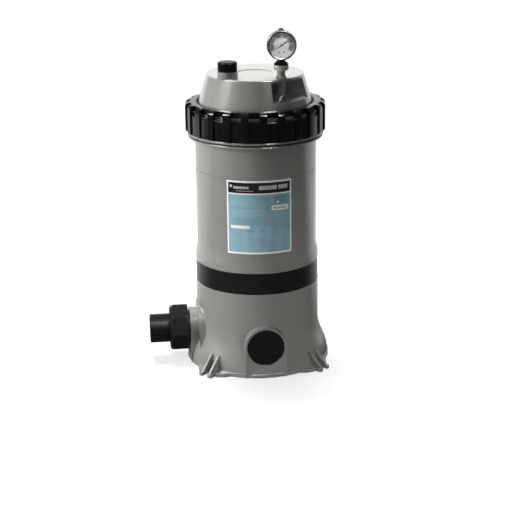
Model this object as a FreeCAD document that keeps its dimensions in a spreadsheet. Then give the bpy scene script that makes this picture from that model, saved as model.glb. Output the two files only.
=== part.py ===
"""Pool cartridge filter: a floor-standing tank with a clamped lid, a pleated cartridge and union ports.

Millimetres, +Z up. The origin is on the floor under the tank's axis. The plugged front port looks
along -Y, the inlet union along -X and the outlet union along +Y.
"""

import FreeCAD, Part
import math
import operator
import os
from collections import namedtuple

import Sketcher

Vector = FreeCAD.Vector
Rotation = FreeCAD.Rotation
Placement = FreeCAD.Placement

# Driving dimensions: alias, number, what it is

DRIVING = [
    ("seat_gap", 0.3, "clearance between pieces that move past or rest near each other"),
    ("push_gap", 0.1, "clearance round a piece that is pushed or glued into another"),
    ("bell_step", 4.5, "lower tank and barrel foot beyond the barrel"),
    ("base_wall", 9, "lower tank wall"),
    ("base_top", 195, "shoulder of the lower tank"),
    ("waist_height", 101, "where the skirt starts to flare"),
    ("skirt_flare", 23.5, "skirt at the floor beyond the lower tank"),
    ("rim_depth", 1.5, "bead round the bottom edge of the skirt"),
    ("rim_height", 9, "height of that bead"),
    ("floor_height", 22, "vessel floor, top face"),
    ("floor_round", 15, "inside corner of the vessel floor"),
    ("neck_step", 5.5, "neck that enters the barrel, inside the tank's outside"),
    ("neck_height", 77, "neck above the shoulder"),
    ("foot_length", 32, "foot beyond the skirt"),
    ("foot_thickness", 8, "foot plate"),
    ("foot_root_width", 100, "foot plate where it leaves the skirt"),
    ("foot_tip_width", 36, "foot plate at its tabs"),
    ("foot_corner", 3, "rounding of the tab corners"),
    ("slot_width", 16, "open slot between two tabs"),
    ("slot_depth", 18, "from the tip to the slot's centre"),
    ("gusset_thickness", 5, "upright web on a tab"),
    ("gusset_height", 42, "gusset at the skirt"),
    ("port_height", 73, "port axis above the floor"),
    ("port_stand", 20.5, "port collar face beyond the lower tank"),
    ("collar_wall", 4.7, "port collar round its recess"),
    ("collar_recess", 13, "depth of that recess"),
    ("spot_width", 20, "round flat pad behind a union port, beyond the collar"),
    ("spot_stand", 0.5, "pad face beyond the lower tank"),
    ("band_height", 51, "black trim band"),
    ("band_inset", 0.7, "trim band inside the tank's outside"),
    ("bell_straight", 8, "straight part of the barrel foot"),
    ("bell_taper", 36, "slow taper above the barrel foot"),
    ("barrel_radius", 140, "upper tank, outside"),
    ("barrel_wall", 6, "upper tank wall"),
    ("barrel_length", 350, "upper rim of the barrel above the trim band"),
    ("collar_step", 10, "threaded collar beyond the barrel"),
    ("rib_low_drop", 58, "underside of the lower flange rib below the rim"),
    ("rib_low_stand", 6, "lower flange rib beyond the collar"),
    ("rib_high_drop", 49, "underside of the upper flange rib below the rim"),
    ("rib_high_stand", 8, "upper flange rib beyond the collar"),
    ("rib_thickness", 5, "each flange rib"),
    ("rib_round", 1.8, "rounding of the rib edges"),
    ("seal_inset", 8, "lid seal's centre line inside the collar"),
    ("seal_section", 2.5, "lid seal, section radius"),
    ("label_rise", 1.7, "lower edge of the label above the barrel's foot"),
    ("label_height", 171, "label height"),
    ("label_angle", 62, "arc that the label covers"),
    ("label_turn", 3.5, "label centre from the front towards the inlet"),
    ("label_thickness", 0.5, "label film with its frame"),
    ("lid_turn", -7, "lid front from the tank front, towards the inlet if negative"),
    ("lid_flange_inset", 2, "clamped flange of the lid inside the collar"),
    ("lid_flange_thickness", 9.7, "clamped flange"),
    ("lid_spigot_depth", 11, "spigot inside the rim"),
    ("lid_spigot_wall", 5, "spigot wall"),
    ("lid_flange_width", 15.5, "clamped flange beyond the dome"),
    ("lid_foot_inset", 3.2, "bottom of the conical side inside the dome's foot"),
    ("lid_foot_rise", 12, "bottom of the conical side above the flange"),
    ("lid_cone_inset", 18.7, "top plate inside the bottom of the conical side"),
    ("lid_cone_height", 64, "conical side"),
    ("lid_wall", 5, "lid wall"),
    ("lid_edge_round", 3, "rounding of the top edge"),
    ("dish_radius", 42, "shallow disc in the top plate"),
    ("dish_depth", 1.5, "depth of that disc"),
    ("stop_inset", 27, "ring inside the lid that holds the cartridge down, inside the fittings"),
    ("stop_wall", 3, "wall of that ring"),
    ("recess_turn", 45, "hand recess from the lid's front"),
    ("recess_angle", 52, "arc of a hand recess"),
    ("recess_depth", 40.6, "back wall of a hand recess inside the top plate's edge"),
    ("recess_back_drop", 30, "floor of the hand recess at its back, below the plate"),
    ("recess_front_drop", 50, "floor of the hand recess at the cone, below the plate"),
    ("recess_roof_drop", 6.5, "roof of the hand recess below the plate"),
    ("fitting_inset", 20.6, "relief valve and gauge inside the top plate's edge"),
    ("relief_turn", -42, "relief valve from the lid's front"),
    ("relief_boss_radius", 23.3, "relief boss"),
    ("relief_boss_height", 15, "relief boss above the plate"),
    ("relief_bore", 9.3, "hole for the relief stem, radius"),
    ("relief_stem_radius", 9, "relief stem"),
    ("relief_stem_depth", 32, "relief stem below the boss top"),
    ("relief_cap_radius", 21.8, "relief knob"),
    ("relief_cap_height", 21, "relief knob"),
    ("relief_cap_ribs", 20, "grip flutes of the relief knob"),
    ("relief_cap_wall", 3, "top wall of the relief knob"),
    ("relief_cap_round", 4, "rounding of the knob's top edge"),
    ("relief_seal_section", 1.25, "relief valve seal, section radius"),
    ("flute_radius", 2, "grip flutes and serrations"),
    ("gauge_port_turn", 41, "gauge from the lid's front"),
    ("gauge_neck_radius", 9.5, "neck under the gauge"),
    ("gauge_neck_height", 16, "neck above the plate"),
    ("gauge_neck_bore", 5.3, "hole down the neck, radius"),
    ("gauge_turn", 0, "direction of the dial from the tank front"),
    ("adapter_radius", 17, "grey serrated adapter"),
    ("adapter_height", 12.5, "adapter"),
    ("adapter_teeth", 20, "serrations of the adapter"),
    ("seal_nut_radius", 16, "black nut at its foot"),
    ("seal_nut_top_radius", 8.5, "black nut at its top"),
    ("seal_nut_height", 10.5, "black nut"),
    ("gauge_stem_radius", 5.5, "steel gauge stem"),
    ("gauge_stem_bore", 1.5, "hole up the stem, radius"),
    ("gauge_stem_entry", 5, "stem inside the case"),
    ("gauge_lift", 1, "gauge bezel above the black nut"),
    ("case_inset", 2, "gauge case inside the bezel"),
    ("case_wall", 1.2, "gauge case wall"),
    ("case_back", 11, "case behind the stem axis"),
    ("case_front", 11, "case before the stem axis"),
    ("bezel_radius", 33, "gauge bezel"),
    ("bezel_overlap", 4.2, "bezel over the case"),
    ("bezel_stand", 5, "front of the bezel beyond the case"),
    ("bezel_lip", 5, "bezel lip round its window"),
    ("dial_inset", 1.8, "dial face inside the case's front edge"),
    ("dial_thickness", 0.8, "dial plate"),
    ("lens_thickness", 2, "gauge window"),
    ("pointer_length", 18, "pointer tip from the pivot"),
    ("pointer_tail", 16.5, "pointer tail from the pivot"),
    ("pointer_angle", 213, "pointer at zero, counter-clockwise from the dial's right"),
    ("arbor_radius", 1, "pointer shaft"),
    ("dial_screw_radius", 1.7, "screw heads on the dial"),
    ("dial_screw_spread", 5.4, "screw from the dial's centre line"),
    ("dial_screw_drop", 15.5, "screws below the dial centre"),
    ("bourdon_inset", 11, "bourdon tube's centre line inside the case"),
    ("bourdon_section", 2, "bourdon tube, radius"),
    ("vent_radius", 6.2, "rubber vent plug on the gauge"),
    ("vent_height", 5.5, "vent plug above the case"),
    ("vent_neck_radius", 3, "neck of the vent plug"),
    ("case_round", 2, "rounded edges of the gauge case and its bezel"),
    ("ring_lift", 1, "lock ring above the upper flange rib"),
    ("ring_lip_height", 13, "top of the lock ring above the lid's flange"),
    ("thread_gap", 2.2, "lock ring round the threaded collar"),
    ("ring_lip_gap", 2, "opening of the lock ring round the dome's foot"),
    ("ring_lip_round", 3, "rounding of the lock ring's lip"),
    ("ring_wall", 5.8, "lock ring between the lugs"),
    ("ring_crown_inset", 8.5, "top face of the lock ring inside its side"),
    ("lug_stand", 3.5, "lug beyond the lock ring's side"),
    ("lug_count", 24, "grip lugs"),
    ("lug_share", 0.38, "part of the circle that lugs take up"),
    ("lug_round", 11, "rounding of a lug's top corner"),
    ("scoop_drop", 22, "bottom of the scoops below the top of the ring"),
    ("scoop_round", 8, "rounding at the back of a scoop"),
    ("flange_gap", 0.5, "fitting flange in the collar recess"),
    ("gasket_thickness", 2, "flat gasket under that flange"),
    ("shank_wall", 5.8, "fitting shank round its water way"),
    ("shank_length", 33, "fitting shank inside the collar face"),
    ("socket_shoulder", 3.15, "water way of the fittings inside the pipe socket"),
    ("thread_step", 7.2, "union thread beyond the shank"),
    ("flange_lip", 2.8, "fitting flange beyond the union thread"),
    ("union_stand", 31, "sealing face of the union beyond the collar"),
    ("tail_flange_lip", 1, "flange of the tailpiece beyond the union thread"),
    ("tail_flange_thickness", 6.7, "flange of the tailpiece"),
    ("tail_wall", 4.25, "tailpiece round the pipe socket"),
    ("tail_length", 63.5, "tailpiece beyond the sealing face"),
    ("socket_bore", 30.15, "pipe socket, radius"),
    ("socket_depth", 38, "pipe socket"),
    ("nut_wall", 16.5, "union nut's corners beyond the tailpiece flange"),
    ("nut_gap", 4, "union nut from the port collar"),
    ("nut_length", 43, "union nut"),
    ("nut_chamfer", 8, "chamfer at the nut's outer end"),
    ("nut_flats", 8, "grip flats of the nut"),
    ("face_seal_inset", 6, "union seal's centre line inside the thread"),
    ("face_seal_section", 1.4, "union seal, section radius"),
    ("plug_seal_width", 5, "plug seal's centre line beyond the port hole"),
    ("plug_seal_section", 1.75, "plug seal, section radius"),
    ("plug_notches", 8, "grip notches round the plug"),
    ("diffuser_length", 20, "diffuser beyond the fitting's shank"),
    ("diffuser_wall", 2.5, "diffuser wall"),
    ("pipe_wall", 4.2, "manifold pipe wall"),
    ("pipe_bend", 36, "manifold elbow, centre line"),
    ("pipe_entry", 14, "manifold pipe inside the outlet fitting"),
    ("saddle_radius", 48, "flange that carries the cartridge"),
    ("saddle_thickness", 4, "that flange"),
    ("spigot_step", 3.3, "spigot beyond the manifold pipe"),
    ("spigot_height", 37, "spigot above its flange"),
    ("spigot_seal_section", 1.2, "spigot seal, section radius"),
    ("spider_thickness", 3, "foot of the air bleed tube"),
    ("bleed_radius", 5, "air bleed tube"),
    ("bleed_wall", 1.5, "air bleed tube wall"),
    ("bleed_drop", 46, "top of the air bleed tube below the lid's plate"),
    ("strainer_radius", 12, "air bleed strainer"),
    ("strainer_length", 34, "air bleed strainer"),
    ("cartridge_headroom", 4.7, "barrel rim above the cartridge"),
    ("cartridge_gap", 21, "barrel wall round the cartridge caps"),
    ("cap_thickness", 18, "cartridge end caps"),
    ("cap_hole", 25, "hole in the top cap, radius"),
    ("core_radius", 38, "cartridge core"),
    ("core_wall", 3, "cartridge core wall"),
    ("cap_lip", 2.5, "cap round the pleats"),
    ("media_thickness", 0.8, "pleated cloth"),
    ("pleat_count", 60, "pleats"),
    ("strap_width", 14, "straps round the pleats"),
    ("strap_thickness", 1, "straps round the pleats"),
]

# Counts, and small values that go with every size of the filter

FOOT_COUNT = 4
PORT_COUNT = 3
CORE_ROWS = 5
BOURDON_SWEEP = 240
OVERRUN = 1  # a cut goes this far past the face that it opens
FINE_EDGE = 1  # chamfer of small edges
EDGE = 1.5  # chamfer of the fittings' edges
THIN = 2  # wall of small moulded pieces

doc = FreeCAD.newDocument("PoolCartridgeFilter")
sheet = doc.addObject("Spreadsheet::Sheet", "Sizes")

OPERATIONS = {"+": operator.add, "-": operator.sub, "*": operator.mul, "/": operator.truediv}


class Size:
    """A number together with the sheet expression that gives it."""

    def __init__(self, value, text):
        self.value = value
        self.text = text

    def __add__(self, other):
        return combine(self, "+", other)

    def __radd__(self, other):
        return combine(other, "+", self)

    def __sub__(self, other):
        return combine(self, "-", other)

    def __rsub__(self, other):
        return combine(other, "-", self)

    def __mul__(self, other):
        return combine(self, "*", other)

    def __rmul__(self, other):
        return combine(other, "*", self)

    def __truediv__(self, other):
        return combine(self, "/", other)

    def __rtruediv__(self, other):
        return combine(other, "/", self)

    def __neg__(self):
        return combine(0, "-", self)


def sized(number):
    return number if isinstance(number, Size) else Size(number, repr(number))


def combine(left, sign, right):
    left = sized(left)
    right = sized(right)
    return Size(OPERATIONS[sign](left.value, right.value), f"({left.text} {sign} {right.text})")


def sine(angle):
    angle = sized(angle)
    return Size(math.sin(math.radians(angle.value)), f"sin({angle.text})")


def cosine(angle):
    angle = sized(angle)
    return Size(math.cos(math.radians(angle.value)), f"cos({angle.text})")


def root(number):
    return Size(math.sqrt(number.value), f"sqrt({number.text})")


class Dimensions:
    """The driving dimensions by name, each tied to its cell."""

    def __init__(self, rows):
        for row, (alias, number, note) in enumerate(rows, 1):
            sheet.set(f"A{row}", note)
            sheet.set(f"B{row}", str(number))
            sheet.setAlias(f"B{row}", alias)
            setattr(self, alias, Size(number, f"Sizes.{alias}"))


dim = Dimensions(DRIVING)
doc.recompute()

# Sketches and features

Arc = namedtuple("Arc", "x y radius side")
LEFT = 1
RIGHT = -1


def bind(thing, name, size):
    """Sets a property and ties it to the sheet."""
    size = sized(size)
    thing.setExpression(name, size.text)


def origin_part(body, role):
    for feature in body.Origin.OriginFeatures:
        if feature.Role == role:
            return feature
    raise ValueError(role)


def new_body(label):
    body = doc.addObject("PartDesign::Body", label)
    body.Label = label
    return body


def sketch_on(body, name, role="XZ_Plane", spin=0, aside=0):
    """A sketch on an origin plane, turned by spin about the upright axis and moved along its normal."""
    sketch = body.newObject("Sketcher::SketchObject", f"{body.Name}_{name}")
    sketch.AttachmentSupport = [(origin_part(body, role), "")]
    sketch.MapMode = "FlatFace"
    turn_axis = Vector(0, 0, 1) if role == "XY_Plane" else Vector(0, 1, 0)
    spin = sized(spin)
    aside = sized(aside)
    sketch.AttachmentOffset = Placement(Vector(), Rotation(turn_axis, spin.value or 1))
    bind(sketch, "AttachmentOffset.Rotation.Angle", spin)
    if role == "XY_Plane":
        bind(sketch, "AttachmentOffset.Base.z", aside)
    else:
        bind(sketch, "AttachmentOffset.Base.x", aside * sine(spin))
        bind(sketch, "AttachmentOffset.Base.z", aside * cosine(spin))
    return sketch


def hold_point(sketch, side, end, x, y):
    for kind, size in (("DistanceX", sized(x)), ("DistanceY", sized(y))):
        number = sketch.addConstraint(Sketcher.Constraint(kind, -1, 1, side, end, size.value))
        bind(sketch, f"Constraints[{number}]", size)


def arc_between(start, end, radius, side):
    """The short arc from start to end, with its centre to the left or right of the way."""
    chord = end - start
    middle = (start + end) * 0.5
    across = Vector(-chord.y, chord.x, 0).normalize() * side
    centre = middle + across * math.sqrt(max(radius**2 - chord.Length**2 / 4, 0))
    first, last = (start, end) if side == LEFT else (end, start)
    angles = [math.atan2(point.y - centre.y, point.x - centre.x) for point in (first, last)]
    return Part.ArcOfCircle(Part.Circle(centre, Vector(0, 0, 1), radius), *angles)


def draw(sketch, corners):
    """A closed outline. A corner is (x, y), or an Arc where the side that leads to it is round."""
    first = sketch.GeometryCount
    points = [Vector(sized(corner[0]).value, sized(corner[1]).value, 0) for corner in corners]
    ends = []
    sides = []
    for number, start in enumerate(points):
        following = (number + 1) % len(points)
        target = corners[following]
        if isinstance(target, Arc):
            radius = sized(target.radius).value
            sides.append(arc_between(start, points[following], radius, target.side))
            ends.append((1, 2) if target.side == LEFT else (2, 1))
        else:
            sides.append(Part.LineSegment(start, points[following]))
            ends.append((1, 2))
    sketch.addGeometry(sides, False)
    for number, corner in enumerate(corners):
        following = (number + 1) % len(corners)
        side = first + number
        sketch.addConstraint(
            Sketcher.Constraint("Coincident", side, ends[number][1], first + following, ends[following][0])
        )
        hold_point(sketch, side, ends[number][0], corner[0], corner[1])
        if isinstance(corners[following], Arc):
            radius = sized(corners[following].radius)
            held = sketch.addConstraint(Sketcher.Constraint("Radius", side, radius.value))
            bind(sketch, f"Constraints[{held}]", radius)


def draw_circle(sketch, x, y, radius):
    radius = sized(radius)
    centre = Vector(sized(x).value, sized(y).value, 0)
    side = sketch.addGeometry(Part.Circle(centre, Vector(0, 0, 1), radius.value), False)
    hold_point(sketch, side, 3, x, y)
    held = sketch.addConstraint(Sketcher.Constraint("Radius", side, radius.value))
    bind(sketch, f"Constraints[{held}]", radius)


def turned(body, name, corners, angle=360, spin=0, cut=False):
    """A profile of radius and height turned about the body's upright axis, or cut from it."""
    sketch = sketch_on(body, f"{name}Profile", spin=spin)
    draw(sketch, corners)
    feature = body.newObject("PartDesign::Groove" if cut else "PartDesign::Revolution", f"{body.Name}_{name}")
    feature.Profile = sketch
    feature.ReferenceAxis = (sketch, ["V_Axis"])
    feature.Midplane = not (isinstance(angle, int) and angle == 360)
    bind(feature, "Angle", angle)
    return feature


def padded(body, name, sketch, length, cut=False, midplane=False, reverse=False):
    feature = body.newObject("PartDesign::Pocket" if cut else "PartDesign::Pad", f"{body.Name}_{name}")
    feature.Profile = sketch
    feature.Midplane = midplane
    feature.Reversed = reverse
    bind(feature, "Length", length)
    return feature


def round_pattern(body, name, features, count, angle=360, reverse=False):
    pattern = body.newObject("PartDesign::PolarPattern", f"{body.Name}_{name}")
    pattern.Originals = features
    pattern.Axis = (origin_part(body, "Z_Axis"), [""])
    pattern.Reversed = reverse
    bind(pattern, "Angle", angle)
    bind(pattern, "Occurrences", count)
    body.Tip = pattern
    return pattern


def cylinder(body, name, radius, height, x, y, z, cut=False):
    kind = "PartDesign::SubtractiveCylinder" if cut else "PartDesign::AdditiveCylinder"
    feature = body.newObject(kind, f"{body.Name}_{name}")
    bind(feature, "Radius", radius)
    bind(feature, "Height", height)
    move(feature, x, y, z)
    return feature


def move(thing, x, y, z):
    for axis, size in zip("xyz", (x, y, z)):
        bind(thing, f"Placement.Base.{axis}", size)


# Places that several pieces share

base_radius = dim.barrel_radius + dim.bell_step
bell_radius = base_radius
base_inside = base_radius - dim.base_wall
neck_radius = base_radius - dim.neck_step
neck_top = dim.base_top + dim.neck_height
skirt_radius = base_radius + dim.skirt_flare
foot_reach = skirt_radius + dim.foot_length
band_radius = base_radius - dim.band_inset
band_top = dim.base_top + dim.band_height

barrel_low = band_top + dim.seat_gap
barrel_inside = dim.barrel_radius - dim.barrel_wall
rim_top = band_top + dim.barrel_length
collar_top_radius = dim.barrel_radius + dim.collar_step
rib_low = rim_top - dim.rib_low_drop
rib_low_radius = collar_top_radius + dim.rib_low_stand
rib_high = rim_top - dim.rib_high_drop
rib_high_radius = collar_top_radius + dim.rib_high_stand
seal_radius = collar_top_radius - dim.seal_inset
label_low = barrel_low + dim.bell_straight + dim.bell_taper + dim.label_rise

lid_low = rim_top + dim.seat_gap
lid_flange_top = lid_low + dim.lid_flange_thickness
lid_flange_radius = collar_top_radius - dim.lid_flange_inset
lid_foot_radius = lid_flange_radius - dim.lid_flange_width
lid_cone_radius = lid_foot_radius - dim.lid_foot_inset
lid_cone_low = lid_flange_top + dim.lid_foot_rise
lid_top_radius = lid_cone_radius - dim.lid_cone_inset
lid_top = lid_cone_low + dim.lid_cone_height
lid_spigot_radius = barrel_inside - dim.seat_gap * 2
recess_back = lid_top_radius - dim.recess_depth
recess_floor_back = lid_top - dim.recess_back_drop
recess_floor_front = lid_top - dim.recess_front_drop
recess_roof = lid_top - dim.recess_roof_drop
fitting_reach = lid_top_radius - dim.fitting_inset
stop_radius = fitting_reach - dim.stop_inset

ring_low = rib_high + dim.rib_thickness + dim.ring_lift
ring_top = lid_flange_top + dim.ring_lip_height
ring_bore = collar_top_radius + dim.thread_gap
ring_lip_radius = lid_foot_radius + dim.ring_lip_gap
ring_radius = ring_bore + dim.ring_wall
ring_crown_radius = ring_radius - dim.ring_crown_inset
lug_radius = ring_radius + dim.lug_stand
scoop_low = ring_top - dim.scoop_drop

relief_boss_top = lid_top + dim.relief_boss_height
gauge_neck_top = lid_top + dim.gauge_neck_height
adapter_top = gauge_neck_top + dim.adapter_height
seal_nut_top = adapter_top + dim.seal_nut_height
gauge_height = seal_nut_top + dim.gauge_lift + dim.bezel_radius
case_radius = dim.bezel_radius - dim.case_inset
stem_top = gauge_height - case_radius + dim.gauge_stem_entry
bezel_back = dim.case_front - dim.bezel_overlap
bezel_front = dim.case_front + dim.bezel_stand
bezel_opening = dim.bezel_radius - dim.bezel_lip
dial_front = dim.case_front - dim.dial_inset
dial_back = dial_front - dim.dial_thickness
lens_back = bezel_front - dim.case_wall - dim.lens_thickness
bourdon_radius = case_radius - dim.bourdon_inset

tail_radius = dim.socket_bore + dim.tail_wall
fitting_bore = dim.socket_bore - dim.socket_shoulder
shank_radius = fitting_bore + dim.shank_wall
port_bore = shank_radius + dim.push_gap * 2
thread_radius = shank_radius + dim.thread_step
face_seal_radius = thread_radius - dim.face_seal_inset
flange_radius = thread_radius + dim.flange_lip
collar_bore = flange_radius + dim.flange_gap
collar_radius = collar_bore + dim.collar_wall
spot_radius = collar_radius + dim.spot_width
tail_flange_radius = thread_radius + dim.tail_flange_lip
nut_radius = tail_flange_radius + dim.nut_wall
plug_seal_radius = port_bore + dim.plug_seal_width

port_reach = base_radius + dim.port_stand
spot_reach = base_radius + dim.spot_stand
recess_face = port_reach - dim.collar_recess
fitting_face = recess_face + dim.gasket_thickness
shank_end = port_reach - dim.shank_length
diffuser_end = shank_end - dim.diffuser_length
union_face = port_reach + dim.union_stand
tail_end = union_face + dim.tail_length
nut_start = port_reach + dim.nut_gap
nut_end = nut_start + dim.nut_length

pipe_radius = fitting_bore - dim.seat_gap
pipe_bore = pipe_radius - dim.pipe_wall
saddle_low = dim.port_height + dim.pipe_bend
saddle_top = saddle_low + dim.saddle_thickness
spigot_radius = pipe_radius + dim.spigot_step
spigot_top = saddle_top + dim.spigot_height
spider_radius = (spigot_radius + pipe_bore) / 2
bleed_top = lid_top - dim.bleed_drop
seal_height = saddle_top + dim.cap_thickness / 2
bottom_cap_bore = spigot_radius + dim.seat_gap * 2
seal_groove = bottom_cap_bore - dim.push_gap - dim.spigot_seal_section * 2

cartridge_low = saddle_top + dim.seat_gap
cartridge_top = rim_top - dim.cartridge_headroom
cap_radius = barrel_inside - dim.cartridge_gap
media_radius = cap_radius - dim.cap_lip
media_low = cartridge_low + dim.cap_thickness
media_high = cartridge_top - dim.cap_thickness


def place_on_lid(thing, turn):
    """Upright, on the circle of the lid's fittings."""
    angle = dim.lid_turn + turn
    move(thing, fitting_reach * sine(angle), -fitting_reach * cosine(angle), 0)


def place_on_gauge(thing):
    """With its axis along the dial's axis, from the stem axis at dial height."""
    spin = Rotation(Vector(0, 0, 1), dim.gauge_turn.value)
    thing.Placement = Placement(Vector(), spin * Rotation(Vector(1, 0, 0), 90))
    angle = dim.lid_turn + dim.gauge_port_turn
    move(thing, fitting_reach * sine(angle), -fitting_reach * cosine(angle), gauge_height)


INLET = (Vector(0, 1, 0), -90)
OUTLET = (Vector(1, 0, 0), -90)
FRONT = (Vector(1, 0, 0), 90)


def place_at_port(thing, port):
    """With its axis along the port's axis, from the tank axis at port height."""
    thing.Placement = Placement(Vector(), Rotation(*port))
    move(thing, 0, 0, dim.port_height)


# Lower tank


def skirt_curve():
    """Rise, spread and arc radius of the S-shaped flare, made of two equal arcs."""
    spread = skirt_radius - base_radius
    bend = (dim.waist_height * dim.waist_height + spread * spread) / (spread * 4)
    return spread, bend


def tank_base():
    body = new_body("tank_base")
    spread, bend = skirt_curve()
    turned(body, "Shell", [
        (0, 0),
        (skirt_radius, 0),
        Arc(base_radius + spread / 2, dim.waist_height / 2, bend, LEFT),
        Arc(base_radius, dim.waist_height, bend, RIGHT),
        (base_radius, dim.base_top),
        (neck_radius, dim.base_top),
        (neck_radius, neck_top),
        (0, neck_top),
    ])
    inner = skirt_radius - dim.base_wall
    turned(body, "Rim", [
        (inner, 0),
        (skirt_radius + dim.rim_depth, 0),
        (skirt_radius + dim.rim_depth, dim.rim_height - dim.rim_depth),
        Arc(skirt_radius, dim.rim_height, dim.rim_depth, LEFT),
        (inner, dim.rim_height),
    ])
    feet(body)
    hollow_underneath(body, bend)
    spot_pads(body)
    port_collars(body)
    turned(body, "Vessel", [
        (0, dim.floor_height),
        (base_inside - dim.floor_round, dim.floor_height),
        Arc(base_inside, dim.floor_height + dim.floor_round, dim.floor_round, LEFT),
        (base_inside, dim.base_top - dim.base_wall),
        (neck_radius - dim.base_wall, dim.base_top),
        (neck_radius - dim.base_wall, neck_top + OVERRUN),
        (0, neck_top + OVERRUN),
    ], cut=True)
    port_openings(body)
    return body


def feet(body):
    """Four slotted feet, each a flat ear with two tabs and a gusset on each tab."""
    slot = dim.slot_width / 2
    slot_x = foot_reach - dim.slot_depth
    tip = dim.foot_tip_width / 2
    corner = dim.foot_corner
    root_half = dim.foot_root_width / 2
    waist_x = foot_reach - dim.slot_depth * 0.8
    wall_radius = skirt_radius - dim.base_wall / 2
    root_x = root(wall_radius * wall_radius - root_half * root_half)
    throat = (waist_x - root_x) * 1.3
    ear = sketch_on(body, "EarOutline", "XY_Plane", spin=45)
    draw(ear, [
        (base_radius - dim.base_wall, -root_half),
        (root_x, -root_half),
        Arc(waist_x, -tip, throat, LEFT),
        (foot_reach - corner, -tip),
        Arc(foot_reach, corner - tip, corner, LEFT),
        (foot_reach, -slot),
        (slot_x, -slot),
        Arc(slot_x - slot, 0, slot, RIGHT),
        Arc(slot_x, slot, slot, RIGHT),
        (foot_reach, slot),
        (foot_reach, tip - corner),
        Arc(foot_reach - corner, tip, corner, LEFT),
        (waist_x, tip),
        Arc(root_x, root_half, throat, LEFT),
        (base_radius - dim.base_wall, root_half),
    ])
    parts = [padded(body, "Ear", ear, dim.foot_thickness)]
    for side, offset in (("Left", -1), ("Right", 1)):
        aside = (slot + dim.gusset_thickness / 2) * offset
        web = sketch_on(body, f"{side}GussetOutline", spin=45, aside=aside)
        draw(web, [
            (base_radius, dim.foot_thickness / 2),
            (foot_reach - corner, dim.foot_thickness / 2),
            (foot_reach - corner, dim.foot_thickness),
            (skirt_radius - dim.base_wall / 2, dim.gusset_height),
            (base_radius, dim.gusset_height),
        ])
        parts.append(padded(body, f"{side}Gusset", web, dim.gusset_thickness, midplane=True))
    round_pattern(body, "Feet", parts, FOOT_COUNT)


def hollow_underneath(body, bend):
    """The space between the skirt and the vessel, open to the floor."""
    spread = skirt_radius - base_radius
    inner_bend = bend - dim.base_wall
    share = inner_bend / bend
    top = dim.waist_height / 2 * share
    centre = skirt_radius - bend
    under = dim.floor_height - dim.base_wall
    turned(body, "Hollow", [
        (0, -OVERRUN),
        (skirt_radius - dim.base_wall, -OVERRUN),
        (skirt_radius - dim.base_wall, 0),
        Arc(centre + (bend - spread / 2) * share, top, inner_bend, LEFT),
        (base_radius, top),
        (base_radius, under + dim.floor_round),
        Arc(base_radius - dim.floor_round, under, dim.floor_round, RIGHT),
        (0, under),
    ], cut=True)


def arch(radius):
    """Straight sides up from the floor, with a round top about the port's axis."""
    return [
        (-radius, 0),
        (radius, 0),
        (radius, dim.port_height),
        Arc(0, dim.port_height + radius, radius, LEFT),
        Arc(-radius, dim.port_height, radius, LEFT),
    ]


def port_collars(body):
    """A round collar on a straight-walled block at the front, the inlet and the outlet."""
    start = base_inside - dim.base_wall * 2
    outline = sketch_on(body, "CollarOutline", aside=start)
    draw(outline, arch(collar_radius))
    block = padded(body, "CollarBlock", outline, port_reach - start)
    hollow_start = start - OVERRUN
    room = collar_radius - dim.base_wall
    under = sketch_on(body, "CollarHollowOutline", "XY_Plane")
    draw(under, [
        (-room, -(port_reach - dim.base_wall)),
        (room, -(port_reach - dim.base_wall)),
        (room, -hollow_start),
        (-room, -hollow_start),
    ])
    hollow_height = dim.port_height - collar_bore - dim.base_wall
    hollow = padded(body, "CollarHollow", under, hollow_height, cut=True, reverse=True)
    round_pattern(body, "Collars", [block, hollow], PORT_COUNT, 180, reverse=True)


def spot_pads(body):
    """Flat pads behind the inlet and outlet collars, with a round top."""
    start = root(base_inside * base_inside - spot_radius * spot_radius) - dim.base_wall
    outline = sketch_on(body, "SpotOutline", spin=-90, aside=start)
    draw(outline, arch(spot_radius))
    pad = padded(body, "Spot", outline, spot_reach - start)
    round_pattern(body, "Spots", [pad], 2, 90, reverse=True)


def port_openings(body):
    recess = sketch_on(body, "RecessCircle", aside=port_reach)
    draw_circle(recess, 0, dim.port_height, collar_bore)
    bore = sketch_on(body, "BoreCircle", aside=port_reach)
    draw_circle(bore, 0, dim.port_height, port_bore)
    depth = port_reach - base_inside + dim.base_wall * 2
    cuts = [
        padded(body, "Recess", recess, dim.collar_recess, cut=True),
        padded(body, "Bore", bore, depth, cut=True),
    ]
    round_pattern(body, "Openings", cuts, PORT_COUNT, 180, reverse=True)


# Upper tank


def rib(inner, outer, low):
    """The outline of one flange rib, from below, with rounded edges."""
    high = low + dim.rib_thickness
    bend = dim.rib_round
    return [
        (inner, low),
        (outer - bend, low),
        Arc(outer, low + bend, bend, LEFT),
        (outer, high - bend),
        Arc(outer - bend, high, bend, LEFT),
        (inner, high),
    ]


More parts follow.
